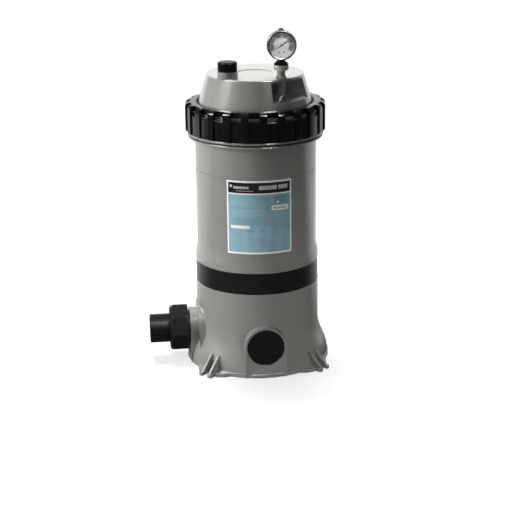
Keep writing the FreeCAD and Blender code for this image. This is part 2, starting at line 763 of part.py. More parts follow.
def tank_barrel():
    body = new_body("tank_barrel")
    groove = dim.seal_section + dim.push_gap * 2
    bell_inside = neck_radius + dim.push_gap
    bell_top = neck_top + dim.push_gap
    step = bell_radius - dim.barrel_radius
    bend = (dim.bell_taper * dim.bell_taper + step * step) / (step * 4)
    shoulder = barrel_low + dim.bell_straight
    turned(body, "Wall", [
        (bell_inside, barrel_low),
        (bell_radius, barrel_low),
        (bell_radius, shoulder),
        Arc(bell_radius - step / 2, shoulder + dim.bell_taper / 2, bend, LEFT),
        Arc(dim.barrel_radius, shoulder + dim.bell_taper, bend, RIGHT),
        *rib(dim.barrel_radius, rib_low_radius, rib_low),
        *rib(collar_top_radius - dim.barrel_wall, rib_high_radius, rib_high)[:-1],
        (collar_top_radius, rib_high + dim.rib_thickness),
        (collar_top_radius, rim_top),
        (seal_radius + groove, rim_top),
        (seal_radius + groove, rim_top - groove * 2),
        (seal_radius - groove, rim_top - groove * 2),
        (seal_radius - groove, rim_top),
        (barrel_inside, rim_top),
        (barrel_inside, bell_top),
        (bell_inside, bell_top),
    ])
    return body


def ring_seal(label, radius, section, height):
    """A round seal about the body's upright axis."""
    seal = doc.addObject("Part::Torus", label)
    seal.Label = label
    bind(seal, "Radius1", radius)
    bind(seal, "Radius2", section)
    bind(seal, "Placement.Base.z", height)
    return seal


def trim_band():
    body = new_body("trim_band")
    inner = neck_radius + dim.push_gap
    turned(body, "Band", [
        (inner, dim.base_top),
        (band_radius - FINE_EDGE, dim.base_top),
        (band_radius, dim.base_top + FINE_EDGE),
        (band_radius, band_top - FINE_EDGE),
        (band_radius - FINE_EDGE, band_top),
        (inner, band_top),
    ])
    return body


def label_plate():
    body = new_body("label_plate")
    inner = dim.barrel_radius + dim.push_gap
    outer = inner + dim.label_thickness
    top = label_low + dim.label_height
    corners = [(inner, label_low), (outer, label_low), (outer, top), (inner, top)]
    turned(body, "Film", corners, dim.label_angle, spin=-(dim.label_turn + 90))
    return body


# Lid


def cone_radius(height):
    """Outside radius of the lid's conical side at a height."""
    slope = (lid_cone_radius - lid_top_radius) / (lid_top - lid_cone_low)
    return lid_cone_radius - (height - lid_cone_low) * slope


def lid():
    body = new_body("lid")
    spigot_low = lid_low - dim.lid_spigot_depth
    foot_drop = lid_cone_low - lid_flange_top
    edge = dim.lid_edge_round
    turned(body, "Dome", [
        (0, spigot_low),
        (lid_spigot_radius, spigot_low),
        (lid_spigot_radius, lid_low),
        (lid_flange_radius, lid_low),
        (lid_flange_radius, lid_flange_top),
        (lid_foot_radius, lid_flange_top),
        Arc(lid_cone_radius, lid_cone_low, foot_drop * 2, RIGHT),
        (cone_radius(lid_top - edge), lid_top - edge),
        Arc(lid_top_radius - edge, lid_top, edge * 1.1, LEFT),
        (0, lid_top),
    ])
    wall = dim.lid_wall
    inside = lid_spigot_radius - dim.lid_spigot_wall
    roof = lid_top - wall
    turned(body, "Inside", [
        (0, spigot_low - OVERRUN),
        (inside, spigot_low - OVERRUN),
        (inside, lid_low),
        (lid_cone_radius - wall, lid_cone_low),
        (cone_radius(roof) - wall, roof),
        (0, roof),
    ], cut=True)
    turned(body, "Stop", [
        (stop_radius - dim.stop_wall, cartridge_top + dim.seat_gap),
        (stop_radius, cartridge_top + dim.seat_gap),
        (stop_radius, roof + wall / 2),
        (stop_radius - dim.stop_wall, roof + wall / 2),
    ])
    hand_recesses(body, roof)
    turned(body, "Dish", [
        (0, lid_top - dim.dish_depth),
        (dim.dish_radius - dim.dish_depth, lid_top - dim.dish_depth),
        (dim.dish_radius, lid_top),
        (dim.dish_radius, lid_top + OVERRUN),
        (0, lid_top + OVERRUN),
    ], cut=True)
    fitting_bosses(body, roof)
    body.Placement = Placement(Vector(), Rotation(Vector(0, 0, 1), dim.lid_turn.value))
    bind(body, "Placement.Rotation.Angle", dim.lid_turn)
    return body


def hand_recesses(body, roof):
    """Two scooped hand recesses opposite each other, each with walls of its own inside the dome."""
    wall = dim.lid_wall
    spin = dim.recess_turn - 90
    housing = turned(body, "RecessHousing", [
        (recess_back - wall, recess_floor_back - wall),
        (cone_radius(recess_floor_front - wall) - wall / 2, recess_floor_front - wall),
        (cone_radius(roof) - wall / 2, roof + wall / 2),
        (recess_back - wall, roof + wall / 2),
    ], dim.recess_angle + wall / fitting_reach * (360 / math.pi), spin=spin)
    outside = lid_cone_radius + wall
    recess = turned(body, "Recess", [
        (recess_back, recess_floor_back),
        (cone_radius(recess_floor_front), recess_floor_front),
        (outside, recess_floor_front - wall / 2),
        (outside, recess_roof),
        (recess_back, recess_roof),
    ], dim.recess_angle, spin=spin, cut=True)
    round_pattern(body, "Recesses", [housing, recess], 2)


def fitting_bosses(body, roof):
    """The relief boss, and the gauge column that runs down through the hand recess."""
    x, y = (fitting_reach * sine(dim.relief_turn), -fitting_reach * cosine(dim.relief_turn))
    cylinder(body, "ReliefBoss", dim.relief_boss_radius, dim.relief_boss_height + OVERRUN, x, y, lid_top - OVERRUN)
    through = dim.lid_wall + dim.relief_boss_height + OVERRUN * 2
    cylinder(body, "ReliefBore", dim.relief_bore, through, x, y, roof - OVERRUN, cut=True)
    x, y = (fitting_reach * sine(dim.gauge_port_turn), -fitting_reach * cosine(dim.gauge_port_turn))
    low = recess_floor_front
    cylinder(body, "GaugeColumn", dim.gauge_neck_radius, gauge_neck_top - low, x, y, low)
    foot = body.newObject("PartDesign::AdditiveCone", "lid_GaugeNeckFoot")
    flare = dim.gauge_neck_height / 4
    bind(foot, "Radius1", dim.gauge_neck_radius + flare)
    bind(foot, "Radius2", dim.gauge_neck_radius)
    bind(foot, "Height", flare)
    move(foot, x, y, lid_top)
    drop = gauge_neck_top - low + dim.lid_wall * 2
    cylinder(body, "GaugeBore", dim.gauge_neck_bore, drop, x, y, low - dim.lid_wall * 2, cut=True)


# Lock ring


def lock_ring():
    """A threaded ring with rounded grip lugs and a scoop between each two of them."""
    body = new_body("lock_ring")
    lip_low = lid_flange_top + dim.seat_gap
    lip_round = dim.ring_lip_round
    turned(body, "Band", [
        (ring_bore, ring_low),
        (lug_radius - FINE_EDGE, ring_low),
        (lug_radius, ring_low + FINE_EDGE),
        (lug_radius, ring_top - dim.lug_round),
        Arc(lug_radius - dim.lug_round, ring_top, dim.lug_round, LEFT),
        (ring_lip_radius + lip_round, ring_top),
        Arc(ring_lip_radius, ring_top - lip_round, lip_round, LEFT),
        (ring_lip_radius, lip_low),
        (ring_bore, lip_low),
    ])
    outside = lug_radius + OVERRUN
    back = ring_crown_radius
    scoop = turned(body, "Scoop", [
        (ring_radius, ring_low - OVERRUN),
        (outside, ring_low - OVERRUN),
        (outside, ring_top + OVERRUN),
        (back, ring_top + OVERRUN),
        (back, scoop_low + dim.scoop_round),
        Arc(ring_radius, scoop_low, dim.scoop_round * 1.1, LEFT),
    ], 360 / dim.lug_count * (1 - dim.lug_share), spin=180 / dim.lug_count, cut=True)
    round_pattern(body, "Scoops", [scoop], dim.lug_count)
    return body


# Relief valve


def relief_cap():
    body = new_body("relief_cap")
    low = relief_boss_top + dim.seat_gap
    top = low + dim.relief_cap_height
    corner = dim.relief_cap_round
    wall = dim.relief_cap_wall
    turned(body, "Knob", [
        (dim.relief_stem_radius + dim.push_gap, low),
        (dim.relief_cap_radius, low),
        (dim.relief_cap_radius, top - corner),
        Arc(dim.relief_cap_radius - corner, top, corner, LEFT),
        (0, top),
        (0, top - wall),
        (dim.relief_stem_radius + dim.push_gap, top - wall),
    ])
    flute = sketch_on(body, "FluteCircle", "XY_Plane", aside=low)
    draw_circle(flute, dim.relief_cap_radius + dim.flute_radius / 2, 0, dim.flute_radius)
    cut = padded(body, "Flute", flute, dim.relief_cap_height - corner, cut=True, reverse=True)
    round_pattern(body, "Flutes", [cut], dim.relief_cap_ribs)
    place_on_lid(body, dim.relief_turn)
    return body


def relief_stem():
    body = new_body("relief_stem")
    low = relief_boss_top - dim.relief_stem_depth
    top = relief_boss_top + dim.seat_gap + dim.relief_cap_height - dim.relief_cap_wall
    seal = relief_boss_top - dim.relief_boss_height / 2
    section = dim.relief_seal_section
    groove = dim.relief_bore - dim.push_gap - section * 2
    turned(body, "Shaft", [
        (0, low),
        (dim.relief_stem_radius - THIN, low),
        (dim.relief_stem_radius, low + THIN),
        (dim.relief_stem_radius, seal - section),
        (groove, seal - section),
        (groove, seal + section),
        (dim.relief_stem_radius, seal + section),
        (dim.relief_stem_radius, top),
        (0, top),
    ])
    place_on_lid(body, dim.relief_turn)
    return body


def relief_oring():
    section = dim.relief_seal_section
    centre = dim.relief_bore - dim.push_gap - section
    height = relief_boss_top - dim.relief_boss_height / 2
    seal = ring_seal("relief_oring", centre, section * 0.98, height)
    angle = dim.lid_turn + dim.relief_turn
    bind(seal, "Placement.Base.x", fitting_reach * sine(angle))
    bind(seal, "Placement.Base.y", -fitting_reach * cosine(angle))
    return seal


# Pressure gauge


def gauge_adapter():
    body = new_body("gauge_adapter")
    edge = FINE_EDGE
    spigot = dim.gauge_neck_bore - dim.push_gap
    turned(body, "Collar", [
        (dim.gauge_stem_bore, gauge_neck_top - dim.gauge_neck_height / 2),
        (spigot, gauge_neck_top - dim.gauge_neck_height / 2),
        (spigot, gauge_neck_top),
        (dim.adapter_radius - edge * 3, gauge_neck_top),
        (dim.adapter_radius, gauge_neck_top + edge * 3),
        (dim.adapter_radius, adapter_top - edge),
        (dim.adapter_radius - edge, adapter_top),
        (dim.gauge_stem_radius + dim.push_gap, adapter_top),
        (dim.gauge_stem_radius + dim.push_gap, adapter_top - dim.adapter_height / 2),
        (dim.gauge_stem_bore, adapter_top - dim.adapter_height / 2),
    ])
    notch = sketch_on(body, "NotchCircle", "XY_Plane", aside=gauge_neck_top)
    draw_circle(notch, dim.adapter_radius + dim.flute_radius * 0.4, 0, dim.flute_radius)
    cut = padded(body, "Notch", notch, dim.adapter_height * 0.6, cut=True, reverse=True)
    round_pattern(body, "Notches", [cut], dim.adapter_teeth)
    place_on_lid(body, dim.gauge_port_turn)
    return body


def gauge_seal_nut():
    body = new_body("gauge_seal_nut")
    inner = dim.gauge_stem_radius + dim.push_gap
    turned(body, "Cone", [
        (inner, adapter_top),
        (dim.seal_nut_radius, adapter_top),
        (dim.seal_nut_radius, adapter_top + dim.seal_nut_height * 0.3),
        (dim.seal_nut_top_radius + FINE_EDGE, seal_nut_top - FINE_EDGE * 2),
        (dim.seal_nut_top_radius, seal_nut_top),
        (inner, seal_nut_top),
    ])
    place_on_lid(body, dim.gauge_port_turn)
    return body


def gauge_stem():
    body = new_body("gauge_stem")
    low = adapter_top - dim.adapter_height / 2
    turned(body, "Shank", [
        (dim.gauge_stem_bore, low),
        (dim.gauge_stem_radius, low),
        (dim.gauge_stem_radius, stem_top),
        (dim.gauge_stem_bore, stem_top),
    ])
    place_on_lid(body, dim.gauge_port_turn)
    return body


def gauge_case():
    body = new_body("gauge_case")
    edge = dim.case_round
    back = -dim.case_back
    turned(body, "Cup", [
        (0, back),
        (case_radius - edge, back),
        Arc(case_radius, back + edge, edge, LEFT),
        (case_radius, dim.case_front),
        (case_radius - dim.case_wall, dim.case_front),
        (case_radius - dim.case_wall, back + dim.case_wall + edge),
        (case_radius - dim.case_wall - edge, back + dim.case_wall),
        (0, back + dim.case_wall),
    ])
    hole = sketch_on(body, "StemHoleCircle")
    draw_circle(hole, 0, 0, dim.gauge_stem_radius + dim.push_gap)
    padded(body, "StemHole", hole, case_radius + OVERRUN, cut=True, reverse=True)
    vent = sketch_on(body, "VentHoleCircle")
    draw_circle(vent, 0, 0, dim.vent_neck_radius + dim.push_gap)
    padded(body, "VentHole", vent, case_radius + OVERRUN, cut=True)
    place_on_gauge(body)
    return body


def gauge_vent_plug():
    body = new_body("gauge_vent_plug")
    case_top = gauge_height + case_radius
    top = case_top + dim.vent_height
    neck = dim.vent_neck_radius
    brim = case_top + FINE_EDGE
    turned(body, "Mushroom", [
        (0, case_top - dim.case_wall * 2),
        (neck, case_top - dim.case_wall * 2),
        (neck, brim),
        (dim.vent_radius, brim),
        (dim.vent_radius, brim + THIN),
        (neck - FINE_EDGE, top),
        (0, top),
    ])
    place_on_lid(body, dim.gauge_port_turn)
    return body


def gauge_bezel():
    body = new_body("gauge_bezel")
    inner = case_radius + dim.push_gap
    edge = dim.case_round
    lip = bezel_front - dim.case_wall
    turned(body, "Hoop", [
        (inner, bezel_back),
        (dim.bezel_radius, bezel_back),
        (dim.bezel_radius, bezel_front - edge),
        Arc(dim.bezel_radius - edge, bezel_front, edge, LEFT),
        (bezel_opening + edge, bezel_front),
        (bezel_opening, lip),
        (inner, lip),
    ])
    place_on_gauge(body)
    return body


def gauge_lens():
    body = new_body("gauge_lens")
    lip = bezel_front - dim.case_wall
    rim = case_radius
    turned(body, "Window", [(0, lens_back), (rim, lens_back), (rim, lip), (0, lip)])
    place_on_gauge(body)
    return body


def gauge_dial():
    body = new_body("gauge_dial")
    rim = case_radius - dim.case_wall - dim.push_gap
    hole = dim.arbor_radius + 0.5
    turned(body, "Plate", [(hole, dial_back), (rim, dial_back), (rim, dial_front), (hole, dial_front)])
    place_on_gauge(body)
    return body


def gauge_dial_screws():
    heads = []
    for name, side in (("DialScrewLeft", -1), ("DialScrewRight", 1)):
        head = doc.addObject("Part::Cylinder", name)
        bind(head, "Radius", dim.dial_screw_radius)
        bind(head, "Height", dim.dial_thickness)
        move(head, dim.dial_screw_spread * side, -dim.dial_screw_drop, dial_front)
        heads.append(head)
    group = doc.addObject("Part::Compound", "gauge_dial_screws")
    group.Label = "gauge_dial_screws"
    group.Links = heads
    place_on_gauge(group)
    return group


def gauge_pointer():
    """A slim pointer with a broad tail, turned to the zero mark about its own hub."""
    body = new_body("gauge_pointer")
    low = dial_front + dim.seat_gap * 3
    outline = sketch_on(body, "Outline", "XY_Plane", spin=dim.pointer_angle, aside=low)
    draw(outline, [
        (-dim.pointer_tail, -1.3),
        (-dim.pointer_tail + 5, -1.3),
        (0, -0.9),
        (dim.pointer_length, -0.35),
        (dim.pointer_length, 0.35),
        (0, 0.9),
        (-dim.pointer_tail + 5, 1.3),
        (-dim.pointer_tail, 1.3),
    ])
    padded(body, "Blade", outline, dim.dial_thickness)
    cylinder(body, "Hub", 2.6, dim.dial_thickness * 2, 0, 0, low)
    cylinder(body, "HubBore", dim.arbor_radius + 0.05, dim.dial_thickness * 4, 0, 0, low - 1, cut=True)
    place_on_gauge(body)
    return body


def gauge_movement():
    """The socket on the stem, the movement plate behind the dial, and the pointer shaft."""
    body = new_body("gauge_movement")
    socket_low = stem_top - gauge_height
    half = dim.gauge_stem_radius + 1
    socket = sketch_on(body, "SocketOutline", "XY_Plane", aside=-half)
    draw(socket, [(-half, socket_low), (half, socket_low), (half, -half), (-half, -half)])
    padded(body, "Socket", socket, dial_back + half)
    plate = sketch_on(body, "PlateOutline", "XY_Plane", aside=0)
    draw(plate, [(-half * 1.5, -half * 1.5), (half * 1.5, -half * 1.5), (half, half), (-half, half)])
    padded(body, "Plate", plate, dial_back)
    shaft = dial_front + dim.seat_gap * 3 + dim.dial_thickness * 2
    cylinder(body, "Arbor", dim.arbor_radius, shaft, 0, 0, 0)
    place_on_gauge(body)
    return body


def gauge_bourdon_tube():
    """A flat-ended C-shaped tube that starts at the socket, behind the movement plate."""
    tube = doc.addObject("Part::Torus", "BourdonArc")
    bind(tube, "Radius1", bourdon_radius)
    bind(tube, "Radius2", dim.bourdon_section)
    tube.Angle3 = BOURDON_SWEEP
    half = dim.gauge_stem_radius + 1
    start = math.degrees(math.asin((half.value + dim.seat_gap.value) / bourdon_radius.value)) - 90
    tube.Placement = Placement(Vector(), Rotation(Vector(0, 0, 1), start))
    bind(tube, "Placement.Base.z", -dim.bourdon_section - dim.seat_gap)
    group = doc.addObject("Part::Compound", "gauge_bourdon_tube")
    group.Label = "gauge_bourdon_tube"
    group.Links = [tube]
    place_on_gauge(group)
    return group


# Unions on the inlet and the outlet


def bulkhead(label, port):
    body = new_body(label)
    edge = EDGE
    groove = dim.face_seal_section
    turned(body, "Fitting", [
        (fitting_bore, shank_end),
        (shank_radius, shank_end),
        (shank_radius, fitting_face),
        (flange_radius, fitting_face),
        (flange_radius, port_reach - edge),
        (flange_radius - edge, port_reach),
        (thread_radius, port_reach),
        (thread_radius, union_face - edge),
        (thread_radius - edge, union_face),
        (face_seal_radius + groove, union_face),
        (face_seal_radius + groove, union_face - groove * 2),
        (face_seal_radius - groove, union_face - groove * 2),
        (face_seal_radius - groove, union_face),
        (fitting_bore, union_face),
    ])
    place_at_port(body, port)
    return body


def gasket(label, port):
    body = new_body(label)
    inner = port_bore + dim.push_gap
    outer = flange_radius
    corners = [(inner, recess_face), (outer, recess_face), (outer, fitting_face), (inner, fitting_face)]
    turned(body, "Ring", corners)
    place_at_port(body, port)
    return body


def port_seal(label, port, radius, section, reach):
    """A round seal whose axis is the port's axis, at a distance from the tank axis."""
    seal = doc.addObject("Part::Torus", label)
    seal.Label = label
    seal.Placement = Placement(Vector(), Rotation(*port))
    bind(seal, "Radius1", radius)
    bind(seal, "Radius2", section)
    outward = Rotation(*port).multVec(Vector(0, 0, 1))
    move(seal, reach * round(outward.x), reach * round(outward.y), dim.port_height)
    return seal


def tailpiece(label, port):
    body = new_body(label)
    start = union_face + dim.seat_gap
    flange_end = start + dim.tail_flange_thickness
    edge = EDGE
    turned(body, "Spigot", [
        (fitting_bore, start),
        (tail_flange_radius, start),
        (tail_flange_radius, flange_end),
        (tail_radius, flange_end),
        (tail_radius, tail_end - edge),
        (tail_radius - edge, tail_end),
        (dim.socket_bore, tail_end),
        (dim.socket_bore, tail_end - dim.socket_depth),
        (fitting_bore, tail_end - dim.socket_depth),
    ])
    place_at_port(body, port)
    return body


def union_nut(label, port):
    """A round nut with eight grip flats, chamfered at the pipe end."""
    body = new_body(label)
    bore = tail_flange_radius + dim.seat_gap * 2
    lip = union_face + dim.seat_gap * 2 + dim.tail_flange_thickness
    edge = EDGE * 2
    turned(body, "Shell", [
        (bore, nut_start),
        (nut_radius - edge, nut_start),
        (nut_radius, nut_start + edge * 2),
        (nut_radius, nut_end - dim.nut_chamfer),
        (nut_radius - dim.nut_chamfer, nut_end),
        (tail_radius + dim.seat_gap, nut_end),
        (tail_radius + dim.seat_gap, lip),
        (bore, lip),
    ])
    half_angle = 180 / dim.nut_flats
    flat = nut_radius * cosine(half_angle)
    outline = sketch_on(body, "FlatOutline", "XY_Plane", spin=half_angle, aside=nut_start - OVERRUN)
    width = nut_radius * sine(half_angle) * 1.1
    beyond = nut_radius + OVERRUN
    draw(outline, [(flat, -width), (beyond, -width), (beyond, width), (flat, width)])
    cut = padded(body, "Flat", outline, nut_end - nut_start + OVERRUN * 2, cut=True, reverse=True)
    round_pattern(body, "Flats", [cut], dim.nut_flats)
    place_at_port(body, port)
    return body


def union(side, port):
    seal_reach = union_face - dim.face_seal_section
    return [
        bulkhead(f"{side}_bulkhead", port),
        gasket(f"{side}_gasket", port),
        port_seal(f"{side}_oring", port, face_seal_radius, dim.face_seal_section, seal_reach),
        tailpiece(f"{side}_tailpiece", port),
        union_nut(f"{side}_union_nut", port),
    ]


def inlet_diffuser():
    """A closed cup on the inlet that turns the water sideways through four windows."""
    body = new_body("inlet_diffuser")
    outer = fitting_bore - dim.push_gap
    inner = outer - dim.diffuser_wall
    turned(body, "Cup", [
        (0, diffuser_end),
        (outer, diffuser_end),
        (outer, shank_end + 12),
        (inner, shank_end + 12),
        (inner, diffuser_end + dim.diffuser_wall),
        (0, diffuser_end + dim.diffuser_wall),
    ])
    window = sketch_on(body, "WindowOutline", spin=0, aside=inner - dim.diffuser_wall * 4)
    low = diffuser_end + dim.diffuser_wall * 2
    high = shank_end - dim.diffuser_wall
    half = outer / 2
    draw(window, [(-half, low), (half, low), (half, high), (-half, high)])
    cut = padded(body, "Window", window, dim.diffuser_wall * 6, cut=True, reverse=True)
    round_pattern(body, "Windows", [cut], 4)
    place_at_port(body, INLET)
    return body


# Front plug


def drain_plug():
    """The flat plug of the front port, with shallow grip notches round its edge."""
    body = new_body("drain_plug")
    face = recess_face + dim.plug_seal_section * 2
    front = port_reach - dim.seat_gap * 3
    edge = EDGE
    rim = collar_bore - dim.seat_gap * 2
    turned(body, "Disc", [
        (0, shank_end + 4),
        (shank_radius, shank_end + 4),
        (shank_radius, face),
        (rim, face),
        (rim, front - edge),
        (rim - edge, front),
        (0, front),
    ])
    notch = sketch_on(body, "NotchOutline", "XY_Plane", spin=90, aside=front)
    draw(notch, [(rim - 3, -4), (rim + 2, -4), (rim + 2, 4), (rim - 3, 4)])
    cut = padded(body, "Notch", notch, front - face - 2, cut=True)
    round_pattern(body, "Notches", [cut], dim.plug_notches)
    place_at_port(body, FRONT)
    return body


# Inside the tank


def outlet_manifold():
    """The outlet pipe with its elbow, the flange that carries the cartridge and its spigot."""
    body = new_body("outlet_manifold")
    start = shank_end + dim.pipe_entry
    path = body.newObject("Sketcher::SketchObject", "outlet_manifold_Path")
    path.AttachmentSupport = [(origin_part(body, "YZ_Plane"), "")]
    path.MapMode = "FlatFace"
    bend = dim.pipe_bend
    centre = Vector(bend.value, dim.port_height.value + bend.value, 0)
    begin = Vector(start.value, dim.port_height.value, 0)
    turn = Vector(bend.value, dim.port_height.value, 0)
    elbow = Part.ArcOfCircle(Part.Circle(centre, Vector(0, 0, 1), bend.value), math.pi, 1.5 * math.pi)
    path.addGeometry([Part.LineSegment(begin, turn), elbow], False)
    path.addConstraint(Sketcher.Constraint("Coincident", 0, 2, 1, 2))
    hold_point(path, 0, 1, start, dim.port_height)
    hold_point(path, 0, 2, bend, dim.port_height)
    hold_point(path, 1, 1, 0, saddle_low)
    held = path.addConstraint(Sketcher.Constraint("Radius", 1, bend.value))
    bind(path, f"Constraints[{held}]", bend)
    mouth = sketch_on(body, "Mouth", aside=-start)
    draw_circle(mouth, 0, dim.port_height, pipe_radius)
    draw_circle(mouth, 0, dim.port_height, pipe_bore)
    pipe = body.newObject("PartDesign::AdditivePipe", "outlet_manifold_Pipe")
    pipe.Profile = mouth
    pipe.Spine = (path, [])
    turned(body, "Riser", [
        (pipe_bore, saddle_low),
        (dim.saddle_radius, saddle_low),
        (dim.saddle_radius, saddle_top),
        (spigot_radius, saddle_top),
        (spigot_radius, seal_height - dim.spigot_seal_section),
        (seal_groove, seal_height - dim.spigot_seal_section),
        (seal_groove, seal_height + dim.spigot_seal_section),
        (spigot_radius, seal_height + dim.spigot_seal_section),
        (spigot_radius, spigot_top),
        (spider_radius + dim.push_gap, spigot_top),
        (spider_radius + dim.push_gap, spigot_top - dim.spider_thickness),
        (pipe_bore, spigot_top - dim.spider_thickness),
    ])
    pipe_wall = pipe_radius - pipe_bore
    leg_height = dim.port_height - pipe_radius + pipe_wall * 0.6 - dim.floor_height
    leg_radius = pipe_radius / 3
    cylinder(body, "Leg", leg_radius, leg_height, 0, (bend + shank_end) / 2, dim.floor_height)
    return body


def manifold_oring():
    centre = bottom_cap_bore - dim.push_gap - dim.spigot_seal_section
    return ring_seal("manifold_oring", centre, dim.spigot_seal_section, seal_height)


def air_bleed_tube():
    """A thin tube up the core, on a foot disc with holes that lies in the spigot's mouth."""
    body = new_body("air_bleed_tube")
    inner = dim.bleed_radius - dim.bleed_wall
    turned(body, "Tube", [
        (inner, spigot_top - dim.spider_thickness),
        (spider_radius, spigot_top - dim.spider_thickness),
        (spider_radius, spigot_top),
        (dim.bleed_radius, spigot_top),
        (dim.bleed_radius, bleed_top),
        (inner, bleed_top),
    ])
    middle = (dim.bleed_radius + pipe_bore) / 2
    hole = sketch_on(body, "HoleCircle", "XY_Plane", aside=spigot_top - dim.spider_thickness - OVERRUN)
    draw_circle(hole, middle, 0, (pipe_bore - dim.bleed_radius) / 2 - 2)
    cut = padded(body, "Hole", hole, dim.spider_thickness + OVERRUN * 2, cut=True, reverse=True)
    round_pattern(body, "Holes", [cut], 4)
    return body


def air_bleed_strainer():
    """A slotted cap over the top of the air bleed tube."""
    body = new_body("air_bleed_strainer")
    low = bleed_top - dim.strainer_length * 0.9
    top = low + dim.strainer_length
    wall = THIN
    turned(body, "Cap", [
        (dim.bleed_radius + dim.push_gap, low),
        (dim.strainer_radius, low),
        (dim.strainer_radius, top - wall),
        (dim.strainer_radius - wall, top),
        (0, top),
        (0, top - wall),
        (dim.strainer_radius - wall, top - wall),
        (dim.strainer_radius - wall, low + wall * 3),
        (dim.bleed_radius + dim.push_gap, low + wall * 3),
    ])
    slot = sketch_on(body, "SlotOutline", aside=dim.strainer_radius - wall * 2)
    draw(slot, [(-1, low + wall * 4), (1, low + wall * 4), (1, top - wall * 2), (-1, top - wall * 2)])
    cut = padded(body, "Slot", slot, wall * 3, cut=True, reverse=True)
    round_pattern(body, "Slots", [cut], 8)
    return body


# Cartridge


def cartridge_caps():
    bottom = new_body("cartridge_bottom_cap")
    top = new_body("cartridge_top_cap")
    rim = THIN
    caps = (
        (bottom, bottom_cap_bore, cartridge_low, media_low),
        (top, dim.cap_hole, cartridge_top, media_high),
    )
    for body, hole, outer_face, inner_face in caps:
        inward = rim if body is bottom else -rim
        outline = [
            (hole, outer_face),
            (cap_radius - rim, outer_face),
            (cap_radius, outer_face + inward),
            (cap_radius, inner_face),
            (hole, inner_face),
        ]
        turned(body, "Disc", outline)
    return [bottom, top]


def cartridge_core():
    """The perforated tube that holds the pleats apart."""
    body = new_body("cartridge_core")
    inner = dim.core_radius - dim.core_wall
    outer = dim.core_radius
    turned(body, "Tube", [(inner, media_low), (outer, media_low), (outer, media_high), (inner, media_high)])
    window = sketch_on(body, "WindowOutline", aside=inner - dim.core_wall * 3)
    half = dim.core_radius / 6
    pitch = (media_high - media_low) / CORE_ROWS
    for row in range(CORE_ROWS):
        low = media_low + pitch * row + half
        high = media_low + pitch * (row + 1) - half
        draw(window, [(-half, low), (half, low), (half, high), (-half, high)])
    cut = padded(body, "Window", window, dim.core_wall * 5, cut=True, reverse=True)
    round_pattern(body, "Windows", [cut], 6)
    return body


def cartridge_pleats():
    """The folded cloth: a closed zigzag wall of even thickness between the core and the straps."""
    body = doc.addObject("Part::Feature", "cartridge_pleats")
    body.Label = "cartridge_pleats"
    count = int(dim.pleat_count.value)
    cloth = dim.media_thickness.value
    outer = media_radius.value
    inner = dim.core_radius.value + dim.push_gap.value
    pitch = 360 / count
    tip = math.degrees(cloth * 1.1 / outer)
    fold = math.degrees(cloth * 0.5 / inner)

    def zigzag(outer_radius, inner_radius, tip_half, fold_half):
        points = []
        for pleat in range(count):
            middle = pleat * pitch
            for radius, angle in (
                (outer_radius, middle - tip_half),
                (outer_radius, middle + tip_half),
                (inner_radius, middle + pitch / 2 - fold_half),
                (inner_radius, middle + pitch / 2 + fold_half),
            ):
                turn = math.radians(angle)
                height = media_low.value
                points.append(Vector(radius * math.cos(turn), radius * math.sin(turn), height))
        return Part.Wire(Part.makePolygon(points + points[:1]))

    outside = zigzag(outer, inner + cloth, tip, fold)
    wall_outer = math.degrees(cloth / outer)
    wall_inner = math.degrees(cloth / inner)
    inside = zigzag(outer - cloth, inner, tip - wall_outer * 0.5, fold + wall_inner)
    face = Part.Face(outside).cut(Part.Face(inside))
    body.Shape = face.extrude(Vector(0, 0, media_high.value - media_low.value))
    body.Placement = Placement()
    return body


def cartridge_bands():
    """Two straps that hold the pleats together."""
    straps = []
    inner = media_radius + dim.push_gap
    span = media_high - media_low
    for name, share in (("StrapLow", 1), ("StrapHigh", 2)):
        outside = doc.addObject("Part::Cylinder", f"{name}Outside")
        inside = doc.addObject("Part::Cylinder", f"{name}Inside")
        middle = media_low + span * share / 3
        for cylinder_part, radius, height in (
            (outside, inner + dim.strap_thickness, dim.strap_width),
            (inside, inner, dim.strap_width + OVERRUN * 2),
        ):
            bind(cylinder_part, "Radius", radius)
            bind(cylinder_part, "Height", height)
            bind(cylinder_part, "Placement.Base.z", middle - height / 2)
        strap = doc.addObject("Part::Cut", name)
        strap.Base = outside
        strap.Tool = inside
        straps.append(strap)
    group = doc.addObject("Part::Compound", "cartridge_bands")
    group.Label = "cartridge_bands"
    group.Links = straps
    return group


def build_all():
    seal_height_in_groove = rim_top - dim.seal_section
    plug_seal_reach = recess_face + dim.plug_seal_section
    return [
        tank_base(),
        tank_barrel(),
        trim_band(),
        label_plate(),
        lid(),
        ring_seal("lid_oring", seal_radius, dim.seal_section, seal_height_in_groove),
        lock_ring(),
        relief_cap(),
        relief_stem(),
        relief_oring(),
        gauge_adapter(),
        gauge_seal_nut(),
        gauge_stem(),
        gauge_case(),
        gauge_bezel(),
        gauge_lens(),
        gauge_dial(),
        gauge_dial_screws(),
        gauge_pointer(),
        gauge_movement(),
        gauge_bourdon_tube(),
        gauge_vent_plug(),
        *union("inlet", INLET),
        inlet_diffuser(),
        *union("outlet", OUTLET),
        drain_plug(),
        port_seal("drain_plug_oring", FRONT, plug_seal_radius, dim.plug_seal_section, plug_seal_reach),
        outlet_manifold(),
        manifold_oring(),
        air_bleed_tube(),
        air_bleed_strainer(),
        *cartridge_caps(),
        cartridge_core(),
        cartridge_pleats(),
        cartridge_bands(),
    ]


